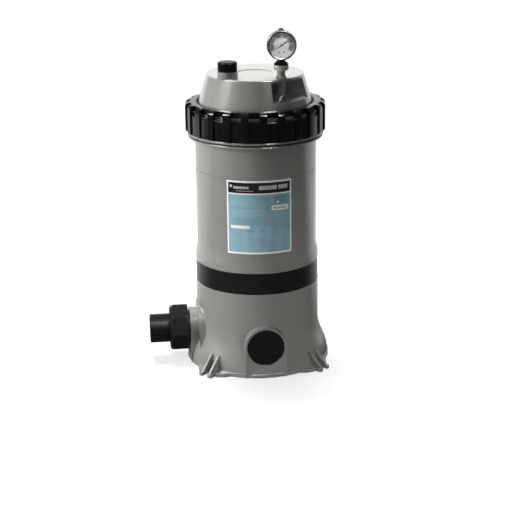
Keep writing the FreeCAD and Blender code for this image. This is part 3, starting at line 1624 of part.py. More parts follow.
def check_document(pieces):
    """Raises where a feature failed, a cut removed nothing or a piece isn't a valid solid."""
    for thing in doc.Objects:
        if "Invalid" in thing.State or "Error" in thing.State:
            raise RuntimeError(f"{thing.Name}: {thing.State}")
        if thing.TypeId in ("PartDesign::Groove", "PartDesign::Pocket"):
            if thing.BaseFeature.Shape.Volume - thing.Shape.Volume < 0.1:
                raise RuntimeError(f"{thing.Name} cuts nothing")
    for piece in pieces:
        if piece.Shape.isNull() or not piece.Shape.isValid() or not piece.Shape.Solids:
            raise RuntimeError(f"{piece.Label} is not a valid solid")
        if piece.TypeId == "PartDesign::Body" and len(piece.Shape.Solids) != 1:
            raise RuntimeError(f"{piece.Label} is in {len(piece.Shape.Solids)} pieces")


pieces = build_all()
doc.recompute()
check_document(pieces)
os.makedirs("parts", exist_ok=True)
for piece in pieces:
    piece.Shape.exportStep(f"parts/{piece.Label}.step")
print(f"{len(pieces)} pieces")
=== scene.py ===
"""Looks for the pool cartridge filter: materials, threads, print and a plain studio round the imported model.

Metres, +Z up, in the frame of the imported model. The front of the tank looks along -Y.
"""
import math

import bmesh
import bpy
from mathutils import Matrix, Quaternion, Vector


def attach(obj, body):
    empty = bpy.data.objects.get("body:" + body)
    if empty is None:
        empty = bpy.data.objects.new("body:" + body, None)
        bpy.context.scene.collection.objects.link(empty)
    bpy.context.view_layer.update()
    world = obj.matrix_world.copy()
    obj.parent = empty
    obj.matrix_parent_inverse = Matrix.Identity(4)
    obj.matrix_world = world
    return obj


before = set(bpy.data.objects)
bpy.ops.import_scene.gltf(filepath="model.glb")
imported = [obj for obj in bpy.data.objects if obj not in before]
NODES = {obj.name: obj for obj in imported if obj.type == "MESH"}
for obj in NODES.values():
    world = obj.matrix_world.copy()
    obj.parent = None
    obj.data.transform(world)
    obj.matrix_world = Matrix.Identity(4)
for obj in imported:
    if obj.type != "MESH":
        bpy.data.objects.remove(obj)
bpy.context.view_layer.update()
MM = 0.001

# Materials. The noise scales count cells in a metre, and depths are in metres.

FLOW_MARKS = 6
SMUDGES = 10
SURFACE_WAVES = 16
DUST_PATCHES = 40
EDGE_NICKS = 60
FINE_GLOSS = 240
DARK_SPECKS = 900

WAVE_DEPTH = 0.0004
PEEL_DEPTH = 0.00002
FIBRE_DEPTH = 0.0002
RUBBER_DEPTH = 0.00003
PLASTIC_EDGE = 0.0007
RUBBER_EDGE = 0.0004
METAL_EDGE = 0.0003

COAT_ROUGHNESS = 0.1
DUST_COLOR = (0.5, 0.48, 0.43)
BLOOM_COLOR = (0.06, 0.06, 0.058)


class Paint:
    """A material with one principled shader, and short ways to add the nodes that feed it."""

    def __init__(self, name, color, roughness, metallic=0.0, coat=0.0):
        self.material = bpy.data.materials.new(name)
        self.material.use_nodes = True
        self.tree = self.material.node_tree
        self.shader = self.tree.nodes["Principled BSDF"]
        self.color = color
        self.set("Base Color", (*color, 1))
        self.set("Roughness", roughness)
        self.set("Metallic", metallic)
        self.set("Coat Weight", coat)
        self.place = self.add("ShaderNodeTexCoord").outputs["Object"]

    def set(self, name, value):
        self.shader.inputs[name].default_value = value

    def add(self, kind, **settings):
        """A new node with its settings made."""
        node = self.tree.nodes.new(kind)
        for name, value in settings.items():
            setattr(node, name, value)
        return node

    def feed(self, socket, value):
        """Links another node's output to the socket, or sets it to a plain value."""
        if isinstance(value, bpy.types.NodeSocket):
            self.tree.links.new(value, socket)
        else:
            socket.default_value = value

    def math(self, operation, *values):
        node = self.add("ShaderNodeMath", operation=operation)
        for socket, value in zip(node.inputs, values):
            self.feed(socket, value)
        return node.outputs[0]

    def noise(self, scale, detail=3, stretch=(1, 1, 1)):
        mapping = self.add("ShaderNodeMapping")
        mapping.inputs["Scale"].default_value = stretch
        self.feed(mapping.inputs["Vector"], self.place)
        noise = self.add("ShaderNodeTexNoise")
        noise.inputs["Scale"].default_value = scale
        noise.inputs["Detail"].default_value = detail
        self.feed(noise.inputs["Vector"], mapping.outputs[0])
        return noise.outputs["Fac"]

    def span(self, source, low, high, start=0.3, end=0.7):
        """Turns a value that runs from start to end into one from low to high."""
        node = self.add("ShaderNodeMapRange")
        values = {"Value": source, "From Min": start, "From Max": end, "To Min": low, "To Max": high}
        for name, value in values.items():
            self.feed(node.inputs[name], value)
        return node.outputs[0]

    def mix(self, factor, first, second):
        """A blend of two colours, each a plain colour or a node's output."""
        node = self.add("ShaderNodeMix", data_type="RGBA")
        self.feed(node.inputs["Factor"], factor)
        for name, value in (("A", first), ("B", second)):
            socket = [s for s in node.inputs if s.name == name and s.type == "RGBA"][0]
            self.feed(socket, (*value, 1) if isinstance(value, tuple) else value)
        return [s for s in node.outputs if s.type == "RGBA"][0]

    def bump(self, height, depth, normal=None, strength=1.0):
        """A bumped normal, on top of another normal if there is one."""
        node = self.add("ShaderNodeBump")
        node.inputs["Strength"].default_value = strength
        node.inputs["Distance"].default_value = depth
        self.feed(node.inputs["Height"], height)
        if normal is not None:
            self.feed(node.inputs["Normal"], normal)
        return node.outputs[0]

    def shade(self, share):
        """The base colour made darker or lighter."""
        return tuple(min(1.0, c * share) for c in self.color)

    def link(self, name, socket):
        self.tree.links.new(socket, self.shader.inputs[name])

    def soft_edges(self, radius):
        """A normal that rounds the sharp edges over this radius."""
        node = self.add("ShaderNodeBevel", samples=4)
        node.inputs["Radius"].default_value = radius
        return node.outputs[0]

    def edge_mask(self, rounded):
        """1 near sharp edges, 0 on open faces."""
        plain = self.add("ShaderNodeNewGeometry").outputs["Normal"]
        dot = self.add("ShaderNodeVectorMath", operation="DOT_PRODUCT")
        self.feed(dot.inputs[0], rounded)
        self.feed(dot.inputs[1], plain)
        return self.span(dot.outputs["Value"], 1.0, 0.0, 0.86, 0.999)

    def upward(self):
        """1 on faces that look up, where dust settles."""
        normal = self.add("ShaderNodeNewGeometry").outputs["Normal"]
        split = self.add("ShaderNodeSeparateXYZ")
        self.feed(split.inputs[0], normal)
        return self.span(split.outputs["Z"], 0.0, 1.0, 0.5, 0.95)


def moulded(
    name, color, roughness, spread, grain,
    streak=(1, 1, 1), wear=1.3, dust=0.02, coat=0.0, gloss=0.5,
):
    """Moulded plastic: faint flow marks, handling smudges, orange peel, softened edges and a little dust.

    Spread is how far the roughness wanders, grain the scale of the orange peel, streak the stretch of the
    flow marks, wear how much lighter the edges are, and dust how much has settled on level faces.
    """
    paint = Paint(name, color, roughness, coat=coat)
    paint.set("Coat Roughness", COAT_ROUGHNESS)
    paint.set("Specular IOR Level", gloss)
    rounded = paint.soft_edges(PLASTIC_EDGE)
    settled = paint.math("MULTIPLY", paint.upward(), paint.span(paint.noise(DUST_PATCHES, 5), 0.0, dust))

    flow = paint.span(paint.noise(FLOW_MARKS, 3, streak), 0.0, 1.0)
    specks = paint.span(paint.noise(DARK_SPECKS, 1), 0.0, 0.06, 0.55, 0.75)
    nicks = paint.span(paint.noise(EDGE_NICKS, 4), 0.1, 0.6)
    edges = paint.math("MULTIPLY", paint.edge_mask(rounded), nicks)
    tone = paint.mix(flow, paint.shade(0.975), paint.shade(1.02))
    tone = paint.mix(specks, tone, paint.shade(0.7))
    tone = paint.mix(edges, tone, paint.shade(wear))
    paint.link("Base Color", paint.mix(settled, tone, DUST_COLOR))

    smudge = paint.span(paint.noise(SMUDGES, 3), roughness - spread, roughness + spread)
    fine = paint.span(paint.noise(FINE_GLOSS, 2), -0.012, 0.012)
    dull = paint.math("MULTIPLY", settled, 1.5)
    paint.link("Roughness", paint.math("ADD", paint.math("ADD", smudge, fine), dull))

    peel = paint.bump(paint.noise(grain, 1), PEEL_DEPTH, rounded, 0.12)
    paint.link("Normal", paint.bump(paint.noise(SURFACE_WAVES, 1), WAVE_DEPTH, peel, 0.06))
    return paint.material


def rubber(name, color):
    """Seal rubber: dull, with a faint pale bloom."""
    paint = Paint(name, color, 0.7)
    bloom = paint.span(paint.noise(60, 5), 0.0, 0.35)
    paint.link("Base Color", paint.mix(bloom, color, BLOOM_COLOR))
    paint.link("Roughness", paint.span(paint.noise(120, 3), 0.6, 0.85))
    paint.link("Normal", paint.bump(paint.noise(1500, 2), RUBBER_DEPTH, paint.soft_edges(RUBBER_EDGE), 0.5))
    return paint.material


def drawn_metal(name, color, roughness, along, stain):
    """Drawn or spun metal: fine lines along one direction, with faint stains of another colour."""
    paint = Paint(name, color, roughness, metallic=1.0)
    lines = paint.noise(900, 2, along)
    paint.link("Base Color", paint.mix(paint.span(paint.noise(70, 4), 0.0, 0.5), color, stain))
    cloud = paint.span(paint.noise(50, 3), roughness - 0.06, roughness + 0.1)
    paint.link("Roughness", paint.math("ADD", cloud, paint.span(lines, -0.04, 0.05)))
    paint.link("Normal", paint.bump(lines, PEEL_DEPTH, paint.soft_edges(METAL_EDGE), 0.3))
    return paint.material


def window(name):
    """A clear window that lets lamp light through to the dial."""
    paint = Paint(name, (0.98, 1.0, 1.0), 0.02)
    paint.set("Transmission Weight", 1.0)
    paint.set("IOR", 1.35)
    paint.link("Roughness", paint.span(paint.noise(40, 4), 0.01, 0.05))
    clear = paint.add("ShaderNodeBsdfTransparent")
    shadow = paint.add("ShaderNodeLightPath").outputs["Is Shadow Ray"]
    both = paint.add("ShaderNodeMixShader")
    paint.feed(both.inputs[0], shadow)
    paint.feed(both.inputs[1], paint.shader.outputs[0])
    paint.feed(both.inputs[2], clear.outputs[0])
    paint.feed(paint.tree.nodes["Material Output"].inputs["Surface"], both.outputs[0])
    return paint.material


def printed(name, color, roughness, gloss=0.5):
    """Printed ink on film or enamel: faint screen grain and a slightly uneven gloss."""
    paint = Paint(name, color, roughness)
    paint.set("Specular IOR Level", gloss)
    cloud = paint.mix(paint.span(paint.noise(25, 4), 0.0, 1.0), paint.shade(0.94), paint.shade(1.05))
    screen = paint.span(paint.noise(1400, 1), 0.0, 0.2)
    paint.link("Base Color", paint.mix(screen, cloud, paint.shade(0.8)))
    paint.link("Roughness", paint.span(paint.noise(30, 3), roughness - 0.07, roughness + 0.1))
    paint.link("Normal", paint.bump(paint.noise(900, 2), PEEL_DEPTH, None, 0.25))
    return paint.material


def woven(name, color):
    """Spun-bonded filter cloth: short crossing fibres with a soft sheen."""
    paint = Paint(name, color, 0.85)
    across = paint.noise(500, 3, (1, 1, 0.12))
    along = paint.noise(500, 3, (0.15, 0.15, 1))
    fibres = paint.math("MAXIMUM", across, along)
    lit = paint.span(fibres, 0.0, 1.0, 0.45, 0.75)
    paint.link("Base Color", paint.mix(lit, paint.shade(0.82), paint.shade(1.05)))
    paint.set("Sheen Weight", 0.25)
    paint.link("Normal", paint.bump(fibres, FIBRE_DEPTH, None, 0.7))
    return paint.material


PAINTS = {
    "tank": moulded("tank_plastic", (0.225, 0.225, 0.206), 0.22, 0.025, 900, (1, 1, 0.3), coat=0.6),
    "adapter": moulded("adapter_plastic", (0.38, 0.38, 0.355), 0.22, 0.025, 900, coat=0.6),
    "seam": moulded("seam_plastic", (0.1, 0.1, 0.092), 0.5, 0.025, 900, wear=1.0),
    "ring": moulded("ring_plastic", (0.006, 0.006, 0.006), 0.12, 0.02, 700, wear=2.5, dust=0.004),
    "knob": moulded("knob_plastic", (0.005, 0.005, 0.005), 0.3, 0.05, 700, wear=1.8, dust=0.0, gloss=0.12),
    "fitting": moulded("fitting_plastic", (0.008, 0.008, 0.008), 0.24, 0.03, 800, wear=2.5, dust=0.004),
    "band": moulded("band_plastic", (0.008, 0.008, 0.007), 0.3, 0.04, 500, (1, 1, 40), 2.0, dust=0.004),
    "pale": moulded("manifold_plastic", (0.6, 0.6, 0.57), 0.42, 0.08, 700),
    "cap": moulded("cap_plastic", (0.05, 0.1, 0.17), 0.5, 0.1, 500),
    "strap": moulded("strap_plastic", (0.66, 0.66, 0.62), 0.6, 0.1, 1500, (1, 1, 20), dust=0.0),
    "rubber": rubber("seal_rubber", (0.014, 0.014, 0.014)),
    "steel": drawn_metal("gauge_steel", (0.56, 0.56, 0.55), 0.22, (0.1, 3, 0.1), (0.4, 0.39, 0.37)),
    # Painted shade: the bezel is stainless like the case, made darker here to stand in for the dim
    # reflections it shows
    "steel_painted_dark": drawn_metal("bezel_steel_painted_shade", (0.2, 0.2, 0.2), 0.3, (0.1, 3, 0.1), (0.14, 0.14, 0.13)),
    "brass": drawn_metal("gauge_brass", (0.62, 0.43, 0.17), 0.3, (1, 1, 0.1), (0.34, 0.22, 0.09)),
    "window": window("gauge_window"),
    "film": printed("label_film", (0.88, 0.88, 0.87), 0.3),
    "teal": printed("label_teal", (0.24, 0.41, 0.485), 0.3),
    "teal_faint": printed("label_teal_faint", (0.275, 0.455, 0.525), 0.3),
    "teal_dark": printed("label_teal_dark", (0.17, 0.32, 0.39), 0.3),
    "teal_pale": printed("label_teal_pale", (0.35, 0.53, 0.6), 0.3),
    "stroke": printed("label_stroke", (0.6, 0.6, 0.6), 0.3),
    "ink": printed("black_ink", (0.012, 0.012, 0.012), 0.32),
    "dial": printed("dial_enamel", (0.31, 0.3, 0.29), 0.45, 0.1),
    "scale": printed("scale_grey", (0.07, 0.07, 0.068), 0.45, 0.1),
    "pointer": printed("pointer_paint", (0.01, 0.01, 0.01), 0.35),
    "cloth": woven("filter_cloth", (0.78, 0.78, 0.74)),
}

WEARS = {
    "tank": ("tank_base", "tank_barrel", "lid"),
    "adapter": ("gauge_adapter",),
    "ring": ("lock_ring",),
    "knob": ("relief_cap", "gauge_seal_nut"),
    "fitting": (
        "relief_stem", "inlet_bulkhead", "inlet_tailpiece", "inlet_union_nut", "outlet_bulkhead",
        "outlet_tailpiece", "outlet_union_nut", "drain_plug",
    ),
    "band": ("trim_band",),
    "pale": (
        "inlet_diffuser", "outlet_manifold", "air_bleed_tube", "air_bleed_strainer", "cartridge_core",
    ),
    "cap": ("cartridge_top_cap", "cartridge_bottom_cap"),
    "strap": ("cartridge_bands",),
    "rubber": (
        "lid_oring", "relief_oring", "inlet_oring", "outlet_oring", "inlet_gasket", "outlet_gasket",
        "drain_plug_oring", "manifold_oring", "gauge_vent_plug",
    ),
    "steel": ("gauge_stem", "gauge_case"),
    "steel_painted_dark": ("gauge_bezel",),
    "brass": ("gauge_movement", "gauge_bourdon_tube"),
    "window": ("gauge_lens",),
    "film": ("label_plate",),
    "dial": ("gauge_dial",),
    "pointer": ("gauge_pointer", "gauge_dial_screws"),
    "cloth": ("cartridge_pleats",),
}


SHARP_ANGLE = 32


def smooth(mesh):
    """Rounds the shading of a mesh where its faces meet at less than the sharp angle."""
    mesh.shade_smooth()
    mesh.set_sharp_from_angle(angle=math.radians(SHARP_ANGLE))


def dress(node, paint):
    """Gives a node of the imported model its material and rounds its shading, not its shape."""
    mesh = NODES[node].data
    mesh.materials.clear()
    mesh.materials.append(PAINTS[paint])
    smooth(mesh)


for paint, nodes in WEARS.items():
    for node in nodes:
        dress(node, paint)

# Pieces in mesh code. Their sizes are in millimetres until MM turns them into metres.


def piece(name, body, paint, make):
    """A new piece on a body, from a function that fills a bmesh in the model's frame."""
    work = bmesh.new()
    make(work)
    mesh = bpy.data.meshes.new(name)
    bmesh.ops.recalc_face_normals(work, faces=work.faces)
    work.to_mesh(mesh)
    work.free()
    mesh.materials.append(PAINTS[paint])
    smooth(mesh)
    thing = bpy.data.objects.new(name, mesh)
    bpy.context.scene.collection.objects.link(thing)
    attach(thing, body)


def strip(work, rings, closed_ring, closed_strip=False):
    """Joins rings of points with quads. A strip of closed rings gets end faces, unless it meets itself."""
    rows = [[work.verts.new(point) for point in ring] for ring in rings]
    pairs = list(zip(rows, rows[1:]))
    if closed_strip:
        pairs.append((rows[-1], rows[0]))
    count = len(rows[0])
    for first, second in pairs:
        for i in range(count if closed_ring else count - 1):
            j = (i + 1) % count
            work.faces.new((first[i], first[j], second[j], second[i]))
    if closed_ring and not closed_strip:
        work.faces.new(rows[0])
        work.faces.new(rows[-1])


THREAD_PITCH = 7
RIDGE_WIDTH = 3.6
RIDGE_SINK = 0.3
TURN_STEPS = 96
FADE_STEPS = 16


def round_tank(radius, angle, height):
    """A point at a radius from the tank's axis."""
    reach = radius * MM
    return (reach * math.cos(angle), reach * math.sin(angle), height * MM)


def helix(radius, depth, low, high, inward=False):
    """A thread ridge on the wall at this radius, which stands out by its depth and fades at both ends."""
    side = -1 if inward else 1

    def make(work):
        steps = int((high - low - RIDGE_WIDTH) / THREAD_PITCH * TURN_STEPS)
        rings = []
        for step in range(steps + 1):
            angle = step / TURN_STEPS * math.tau
            center = low + RIDGE_WIDTH / 2 + THREAD_PITCH * step / TURN_STEPS
            fade = min(1, step / FADE_STEPS, (steps - step) / FADE_STEPS)
            crest = radius + side * max(0.02, fade) * depth
            root = radius - side * RIDGE_SINK
            section = ((root, -0.5), (crest, -0.2), (crest, 0.2), (root, 0.5))
            rings.append([round_tank(out, angle, center + up * RIDGE_WIDTH) for out, up in section])
        strip(work, rings, True)
    return make


piece("collar_thread", "root", "tank", helix(150, 1.1, 556, 594))
piece("ring_thread", "lock_ring", "ring", helix(152.2, 0.8, 555, 592, inward=True))

SEAM_RADIUS = 140
SEAM_HEIGHT = 465.5
SEAM_SECTION = ((-0.2, -1.0), (0.3, -0.35), (0.3, 0.35), (-0.2, 1.0))
SEAM_STEPS = 180


def seam(work):
    """A fine raised line round the barrel."""
    rings = []
    for step in range(SEAM_STEPS):
        angle = step / SEAM_STEPS * math.tau
        rings.append([round_tank(SEAM_RADIUS + out, angle, SEAM_HEIGHT + up) for out, up in SEAM_SECTION])
    strip(work, rings, True, True)


piece("barrel_seam", "root", "seam", seam)

# Label print: plain blocks, bars and rules that stand where a real label has its print

LABEL_RADIUS = 140.6
LABEL_TURN = math.radians(-3.5)
LABEL_TOP = 463
COLUMN_WIDTH = 4
LEAST_HEIGHT = 0.04


def on_label(x, y, radius):
    """A point on the label: x from its centre to the right, y from its upper edge down."""
    angle = LABEL_TURN + x / LABEL_RADIUS
    return (radius * math.sin(angle), -radius * math.cos(angle), (LABEL_TOP - y) * MM)


def label_block(work, lift, left, right, top, bottom, corner=0.0):
    """A patch on the label between these sides, with rounded corners if they have a radius."""
    radius = (LABEL_RADIUS + lift) * MM
    columns = max(1, math.ceil((right - left) / COLUMN_WIDTH))
    places = {left + (right - left) * k / columns for k in range(columns + 1)}
    for degrees in range(0, 91, 15):
        inward = corner * (1 - math.cos(math.radians(degrees)))
        places |= {left + inward, right - inward}
    upper, lower = [], []
    for x in sorted(places):
        into = max(0.0, corner - min(x - left, right - x))
        drop = corner - math.sqrt(max(0.0, corner**2 - into**2))
        drop = min(drop, (bottom - top - LEAST_HEIGHT) / 2)
        upper.append(work.verts.new(on_label(x, top + drop, radius)))
        lower.append(work.verts.new(on_label(x, bottom - drop, radius)))
    for k in range(len(upper) - 1):
        work.faces.new((upper[k], upper[k + 1], lower[k + 1], lower[k]))


def blocks(items, lift):
    """Patches at one height over the plate: left, right, top, bottom and, if rounded, the corner radius."""
    def make(work):
        for item in items:
            label_block(work, lift, *item)
    return make


header = [(-72.5, 72.5, 4.2, 28.5)]
panel = [(-72.5, 72.5, 31.5, 166.6)]
header_bars = [(-68.5, -62.5, 9.5, 15.5, 2.9), (-54, -14, 22.6, 23.6)]
header_bars += [(-59 + 3.9 * k, -56 + 3.9 * k, 12.4 + k % 2, 18.2) for k in range(9)]
header_bars += [(-1 + 4.6 * k, 2.5 + 4.6 * k, 11.2 - 0.08 * k, 20.6 - 0.08 * k) for k in range(9)]
header_bars += [(43.5 + 4.6 * k, 46.9 + 4.6 * k, 10.6 - 0.08 * k, 19.8 - 0.08 * k) for k in range(5)]
dark_blocks = [(33, 65, 36, 54)]
dark_rules = [(-67, 28, 62.5, 63.1), (-67, 67, 101.2, 101.8), (-6, 67, 38.2, 39.4), (-6, 28, 44.0, 45.0)]
dark_rules += [(-62 + 4 * (k % 2), 12 - 9 * (k % 3), 88.5 + k * 3.2, 89.4 + k * 3.2) for k in range(4)]
pale_rules = [(-67, -8 - 12 * (k % 2), 38 + k * 3.4, 39 + k * 3.4) for k in range(6)]
pale_rules += [(-67, 24 - 17 * (k % 3), 67 + k * 3.2, 67.9 + k * 3.2) for k in range(6)]
pale_rules += [(34, 63 - 9 * (k % 2), 72 + k * 3.4, 73 + k * 3.4) for k in range(8)]
pale_rules += [(-67, 67, 119 + k * 6.2, 119.5 + k * 6.2) for k in range(8)]
pale_rules += [(-67 + 26.8 * k - 0.25, -67 + 26.8 * k + 0.25, 119, 162.9) for k in range(6)]
pale_columns = [(-40 + 26.8 * k, -28 + 26.8 * k, 106, 162.9) for k in range(4)]
white_blocks = [(-67, -23, 103.6, 110.8, 0.6), (27, 67, 58, 69, 3.2), (39, 45, 47.5, 52.5, 2.2)]
pill_inside = [(31, 64, 61.3, 65.9, 1.8)]

# Each print's name, paint, patches and height over the plate
LABEL_PRINTS = (
    ("label_header", "ink", header, 0.08),
    ("label_panel", "teal", panel, 0.08),
    ("label_header_bars", "stroke", header_bars, 0.16),
    ("label_dark_blocks", "teal_dark", dark_blocks, 0.12),
    ("label_dark_rules", "teal_dark", dark_rules, 0.16),
    ("label_pale_rules", "teal_pale", pale_rules, 0.16),
    ("label_pale_columns", "teal_faint", pale_columns, 0.11),
    ("label_white_blocks", "film", white_blocks, 0.2),
    ("label_pill_inside", "teal_pale", pill_inside, 0.24),
)
for name, paint, patches, lift in LABEL_PRINTS:
    piece(name, "root", paint, blocks(patches, lift))

# Gauge dial print: a grey scale band, ticks and plain numbers. Angles are in degrees.

GAUGE = Vector((50.33, -74.61, 755)) * MM
DIAL_FACE = 9.2
SCALE_START = 213
SCALE_SWEEP = 246

BAND_INNER = 17.2
BAND_OUTER = 27.4
BAND_MARGIN = 3
BAND_STEPS = 64
BAND_LIFT = 0.06

TICKS = 60
TICKS_TO_NUMBER = 10
TICK_OUTER = 27.0
LONG_TICK = (23.4, 0.95)
SHORT_TICK = (25.0, 0.45)
NUMBER_RADIUS = 20.3
NUMBER_SIZE = 5.4
INK_LIFT = 0.12


def on_dial(radius, degrees, lift):
    """A point in front of the dial's face by the lift."""
    a = math.radians(degrees)
    return (
        GAUGE.x + radius * MM * math.cos(a),
        GAUGE.y - (DIAL_FACE + lift) * MM,
        GAUGE.z + radius * MM * math.sin(a),
    )


def dial_band(work):
    start = SCALE_START + BAND_MARGIN
    end = SCALE_START - SCALE_SWEEP - BAND_MARGIN
    rings = []
    for k in range(BAND_STEPS + 1):
        angle = start + (end - start) * k / BAND_STEPS
        rings.append([on_dial(radius, angle, BAND_LIFT) for radius in (BAND_INNER, BAND_OUTER)])
    strip(work, rings, False)


def dial_ticks(work):
    for k in range(TICKS + 1):
        angle = SCALE_START - SCALE_SWEEP * k / TICKS
        inner, half = SHORT_TICK if k % TICKS_TO_NUMBER else LONG_TICK
        corners = ((inner, -half), (TICK_OUTER, -half), (TICK_OUTER, half), (inner, half))
        work.faces.new([work.verts.new(on_dial(r, angle + turn, INK_LIFT)) for r, turn in corners])


def dial_numbers(work):
    """The numbers 0 to 60 round the scale."""
    upright = Matrix.Rotation(math.radians(90), 4, "X")
    for tick in range(0, TICKS + 1, TICKS_TO_NUMBER):
        curve = bpy.data.curves.new("number", "FONT")
        curve.body = str(tick)
        curve.align_x = "CENTER"
        curve.align_y = "CENTER"
        curve.size = NUMBER_SIZE * MM
        curve.resolution_u = 3
        letter = bpy.data.objects.new("number", curve)
        bpy.context.scene.collection.objects.link(letter)
        bpy.context.view_layer.update()
        flat = letter.to_mesh()
        place = on_dial(NUMBER_RADIUS, SCALE_START - SCALE_SWEEP * tick / TICKS, INK_LIFT)
        flat.transform(Matrix.Translation(place) @ upright)
        work.from_mesh(flat)
        letter.to_mesh_clear()
        bpy.data.objects.remove(letter)
        bpy.data.curves.remove(curve)


piece("dial_scale_band", "lid", "scale", dial_band)
piece("dial_ticks", "lid", "dial", dial_ticks)
piece("dial_numbers", "lid", "dial", dial_numbers)

# Studio: a pale floor, a white backdrop, soft lamps and the camera, in metres

FLOOR_SIZE = 6
FLOOR_STEPS = 24
FLOOR_DROP = 0.0002
PAPER_LIGHT = (0.88, 0.88, 0.87)
PAPER_DARK = (0.85, 0.85, 0.84)
PAPER_PATCHES = 3
PAPER_FIBRES = 600
PAPER_DEPTH = 0.0001
SHADOW_SHARE = 0.22
BOUNCED_LIGHT = 0.3

BACKDROP_SIDE = (0.2, 1.0, -0.6)
BACKDROP_EDGE = (0.60, 0.70)
FRONT_LIGHT = 0.05
ROOM_LIGHT = 0.115


def studio_floor():
    """Paper that is white to the camera but for the object's soft shadow, and in reflections behind it. The
    shadow is partly cast and partly painted shade, as the paper's glow dims towards the object.
    """
    work = bmesh.new()
    sides = [FLOOR_SIZE * (k / FLOOR_STEPS - 0.5) for k in range(FLOOR_STEPS + 1)]
    rows = [[work.verts.new((x, y, -FLOOR_DROP)) for y in sides] for x in sides]
    for i in range(FLOOR_STEPS):
        for j in range(FLOOR_STEPS):
            work.faces.new((rows[i][j], rows[i + 1][j], rows[i + 1][j + 1], rows[i][j + 1]))
    mesh = bpy.data.meshes.new("floor")
    work.to_mesh(mesh)
    work.free()

    paint = Paint("floor_paper", (0.86, 0.86, 0.85), 0.9)
    patches = paint.span(paint.noise(PAPER_PATCHES, 3), 0.0, 1.0)
    paint.link("Base Color", paint.mix(patches, PAPER_DARK, PAPER_LIGHT))
    paint.link("Normal", paint.bump(paint.noise(PAPER_FIBRES, 2), PAPER_DEPTH, None, 0.2))

    path = paint.add("ShaderNodeLightPath")
    seen = paint.math("MAXIMUM", path.outputs["Is Camera Ray"], path.outputs["Is Transmission Ray"])
    away = paint.add("ShaderNodeVectorMath", operation="LENGTH")
    paint.feed(away.inputs[0], paint.place)
    split = paint.add("ShaderNodeSeparateXYZ")
    paint.feed(split.inputs[0], paint.place)
    # Painted shade: the glow the camera sees dims from 1.3 far off to 0.9 near the object, a darkening round
    # it that no lamp casts
    white = paint.math("MULTIPLY", seen, paint.span(away.outputs["Value"], 0.9, 1.3, 0.3, 1.1))
    behind = paint.span(split.outputs["Y"], 0.06, 0.85, 0.05, 0.6)
    mirrored = paint.math("MULTIPLY", path.outputs["Is Glossy Ray"], behind)
    bounced = paint.math("MULTIPLY", path.outputs["Is Diffuse Ray"], BOUNCED_LIGHT)
    strength = paint.math("MAXIMUM", paint.math("MAXIMUM", white, mirrored), bounced)
    glow = paint.add("ShaderNodeEmission")
    paint.feed(glow.inputs["Strength"], strength)

    share = paint.math("SUBTRACT", 1.0, paint.math("MULTIPLY", seen, SHADOW_SHARE))
    both = paint.add("ShaderNodeMixShader")
    paint.feed(both.inputs[0], share)
    paint.feed(both.inputs[1], paint.shader.outputs[0])
    paint.feed(both.inputs[2], glow.outputs[0])
    paint.feed(paint.tree.nodes["Material Output"].inputs["Surface"], both.outputs[0])
    mesh.materials.append(paint.material)
    thing = bpy.data.objects.new("floor", mesh)
    bpy.context.scene.collection.objects.link(thing)


def sky():
    """White for the camera; in reflections white behind the object and dim in front; else evenly dim."""
    world = bpy.data.worlds.new("studio")
    world.use_nodes = True
    bpy.context.scene.world = world
    tree = world.node_tree
    tree.nodes.clear()
    link = tree.links.new

    def add(kind, operation=None):
        node = tree.nodes.new(kind)
        if operation:
            node.operation = operation
        return node

    path = add("ShaderNodeLightPath")
    glossy = path.outputs["Is Glossy Ray"]
    lean = add("ShaderNodeVectorMath", "DOT_PRODUCT")
    lean.inputs[1].default_value = BACKDROP_SIDE
    link(add("ShaderNodeTexCoord").outputs["Generated"], lean.inputs[0])
    cut = add("ShaderNodeMapRange")
    cut.inputs["From Min"].default_value, cut.inputs["From Max"].default_value = BACKDROP_EDGE
    cut.inputs["To Min"].default_value = FRONT_LIGHT
    link(lean.outputs["Value"], cut.inputs["Value"])
    mirrored = add("ShaderNodeMath", "MULTIPLY")
    link(glossy, mirrored.inputs[0])
    link(cut.outputs[0], mirrored.inputs[1])
    other = add("ShaderNodeMath", "SUBTRACT")
    other.inputs[0].default_value = 1.0
    link(glossy, other.inputs[1])
    strength = add("ShaderNodeMath", "MULTIPLY_ADD")
    strength.inputs[1].default_value = ROOM_LIGHT
    link(other.outputs[0], strength.inputs[0])
    link(mirrored.outputs[0], strength.inputs[2])

    room = add("ShaderNodeBackground")
    room.inputs["Color"].default_value = (1, 1, 1, 1)
    link(strength.outputs[0], room.inputs["Strength"])
    white = add("ShaderNodeBackground")
    white.inputs["Color"].default_value = (1, 1, 1, 1)
    white.inputs["Strength"].default_value = 1.0
    seen = add("ShaderNodeMath", "MAXIMUM")
    link(path.outputs["Is Camera Ray"], seen.inputs[0])
    link(path.outputs["Is Transmission Ray"], seen.inputs[1])
    both = add("ShaderNodeMixShader")
    link(seen.outputs[0], both.inputs[0])
    link(room.outputs[0], both.inputs[1])
    link(white.outputs[0], both.inputs[2])
    link(both.outputs[0], add("ShaderNodeOutputWorld").inputs["Surface"])


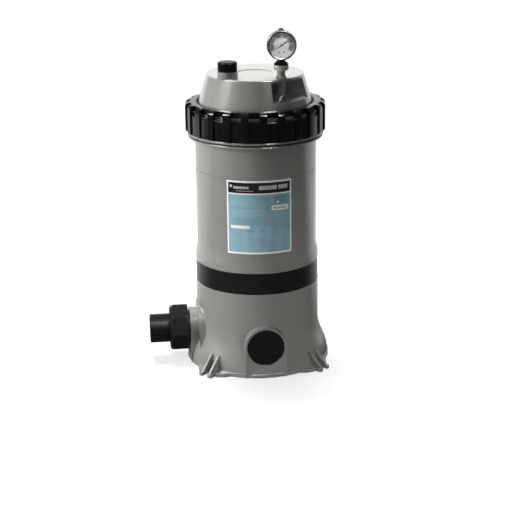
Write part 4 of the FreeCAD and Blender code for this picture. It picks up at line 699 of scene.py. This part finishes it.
def lamp(name, place, aim, size, watts, mirrored=True, lights=True, spread=180):
    """An area lamp. Unmirrored it leaves no highlight, and without lights it leaves only that."""
    light = bpy.data.lights.new(name, "AREA")
    light.shape = "RECTANGLE"
    light.size, light.size_y = size
    light.energy = watts
    light.spread = math.radians(spread)
    thing = bpy.data.objects.new(name, light)
    thing.visible_glossy = mirrored
    thing.visible_diffuse = lights
    thing.location = place
    thing.rotation_mode = "QUATERNION"
    thing.rotation_quaternion = (Vector(aim) - Vector(place)).to_track_quat("-Z", "Y")
    bpy.context.scene.collection.objects.link(thing)


CAMERA_PLACE = Vector((-0.340, -2.981, 1.2207))
CAMERA_PITCH = math.radians(18.145)
CAMERA_ROLL = math.radians(-0.668)


def camera():
    """The photo's view: above the object's middle, turned to its axis and tilted down."""
    data = bpy.data.cameras.new("camera")
    data.sensor_width = 36
    data.lens = 92.65
    data.shift_x = 0.0020
    data.clip_start = 0.1
    data.clip_end = 50
    thing = bpy.data.objects.new("camera", data)
    level = Vector((-CAMERA_PLACE.x, -CAMERA_PLACE.y, 0)).normalized()
    look = level * math.cos(CAMERA_PITCH) - Vector((0, 0, math.sin(CAMERA_PITCH)))
    thing.location = CAMERA_PLACE
    thing.rotation_mode = "QUATERNION"
    roll = Quaternion((0, 0, 1), CAMERA_ROLL)
    thing.rotation_quaternion = look.to_track_quat("-Z", "Y") @ roll
    bpy.context.scene.collection.objects.link(thing)
    bpy.context.scene.camera = thing


TOP_PLACE = (-0.25, 1.9, 5.6)
TOP_SIZE = (3.0, 3.0)
GLEAM_SIZE = (0.9, 1.6)
BODY = (0, 0, 0.6)

studio_floor()
sky()
lamp("key_left", (-2.4, -0.32, 0.95), (0, 0, 0.3), (1.0, 1.7), watts=90, mirrored=False)
lamp("top", TOP_PLACE, BODY, TOP_SIZE, watts=880, mirrored=False)
lamp("gleam_top", TOP_PLACE, BODY, TOP_SIZE, watts=70, lights=False)
lamp("front_fill", (-0.6, -3.2, 2.4), (0, 0, 0.4), (1.0, 0.8), watts=1.5)
lamp("low_fill", (0.6, -1.7, 0.2), (0, 0, 0.03), (0.9, 0.3), watts=0.8, mirrored=False, spread=45)
lamp("gleam_left", (-1.91, -0.42, 2.15), BODY, GLEAM_SIZE, watts=130, lights=False)
lamp("gleam_right", (0.80, -1.54, 2.39), BODY, GLEAM_SIZE, watts=130, lights=False)
camera()

scene = bpy.context.scene
scene.view_settings.view_transform = "Standard"
scene.cycles.max_bounces = 8
scene.cycles.transparent_max_bounces = 8
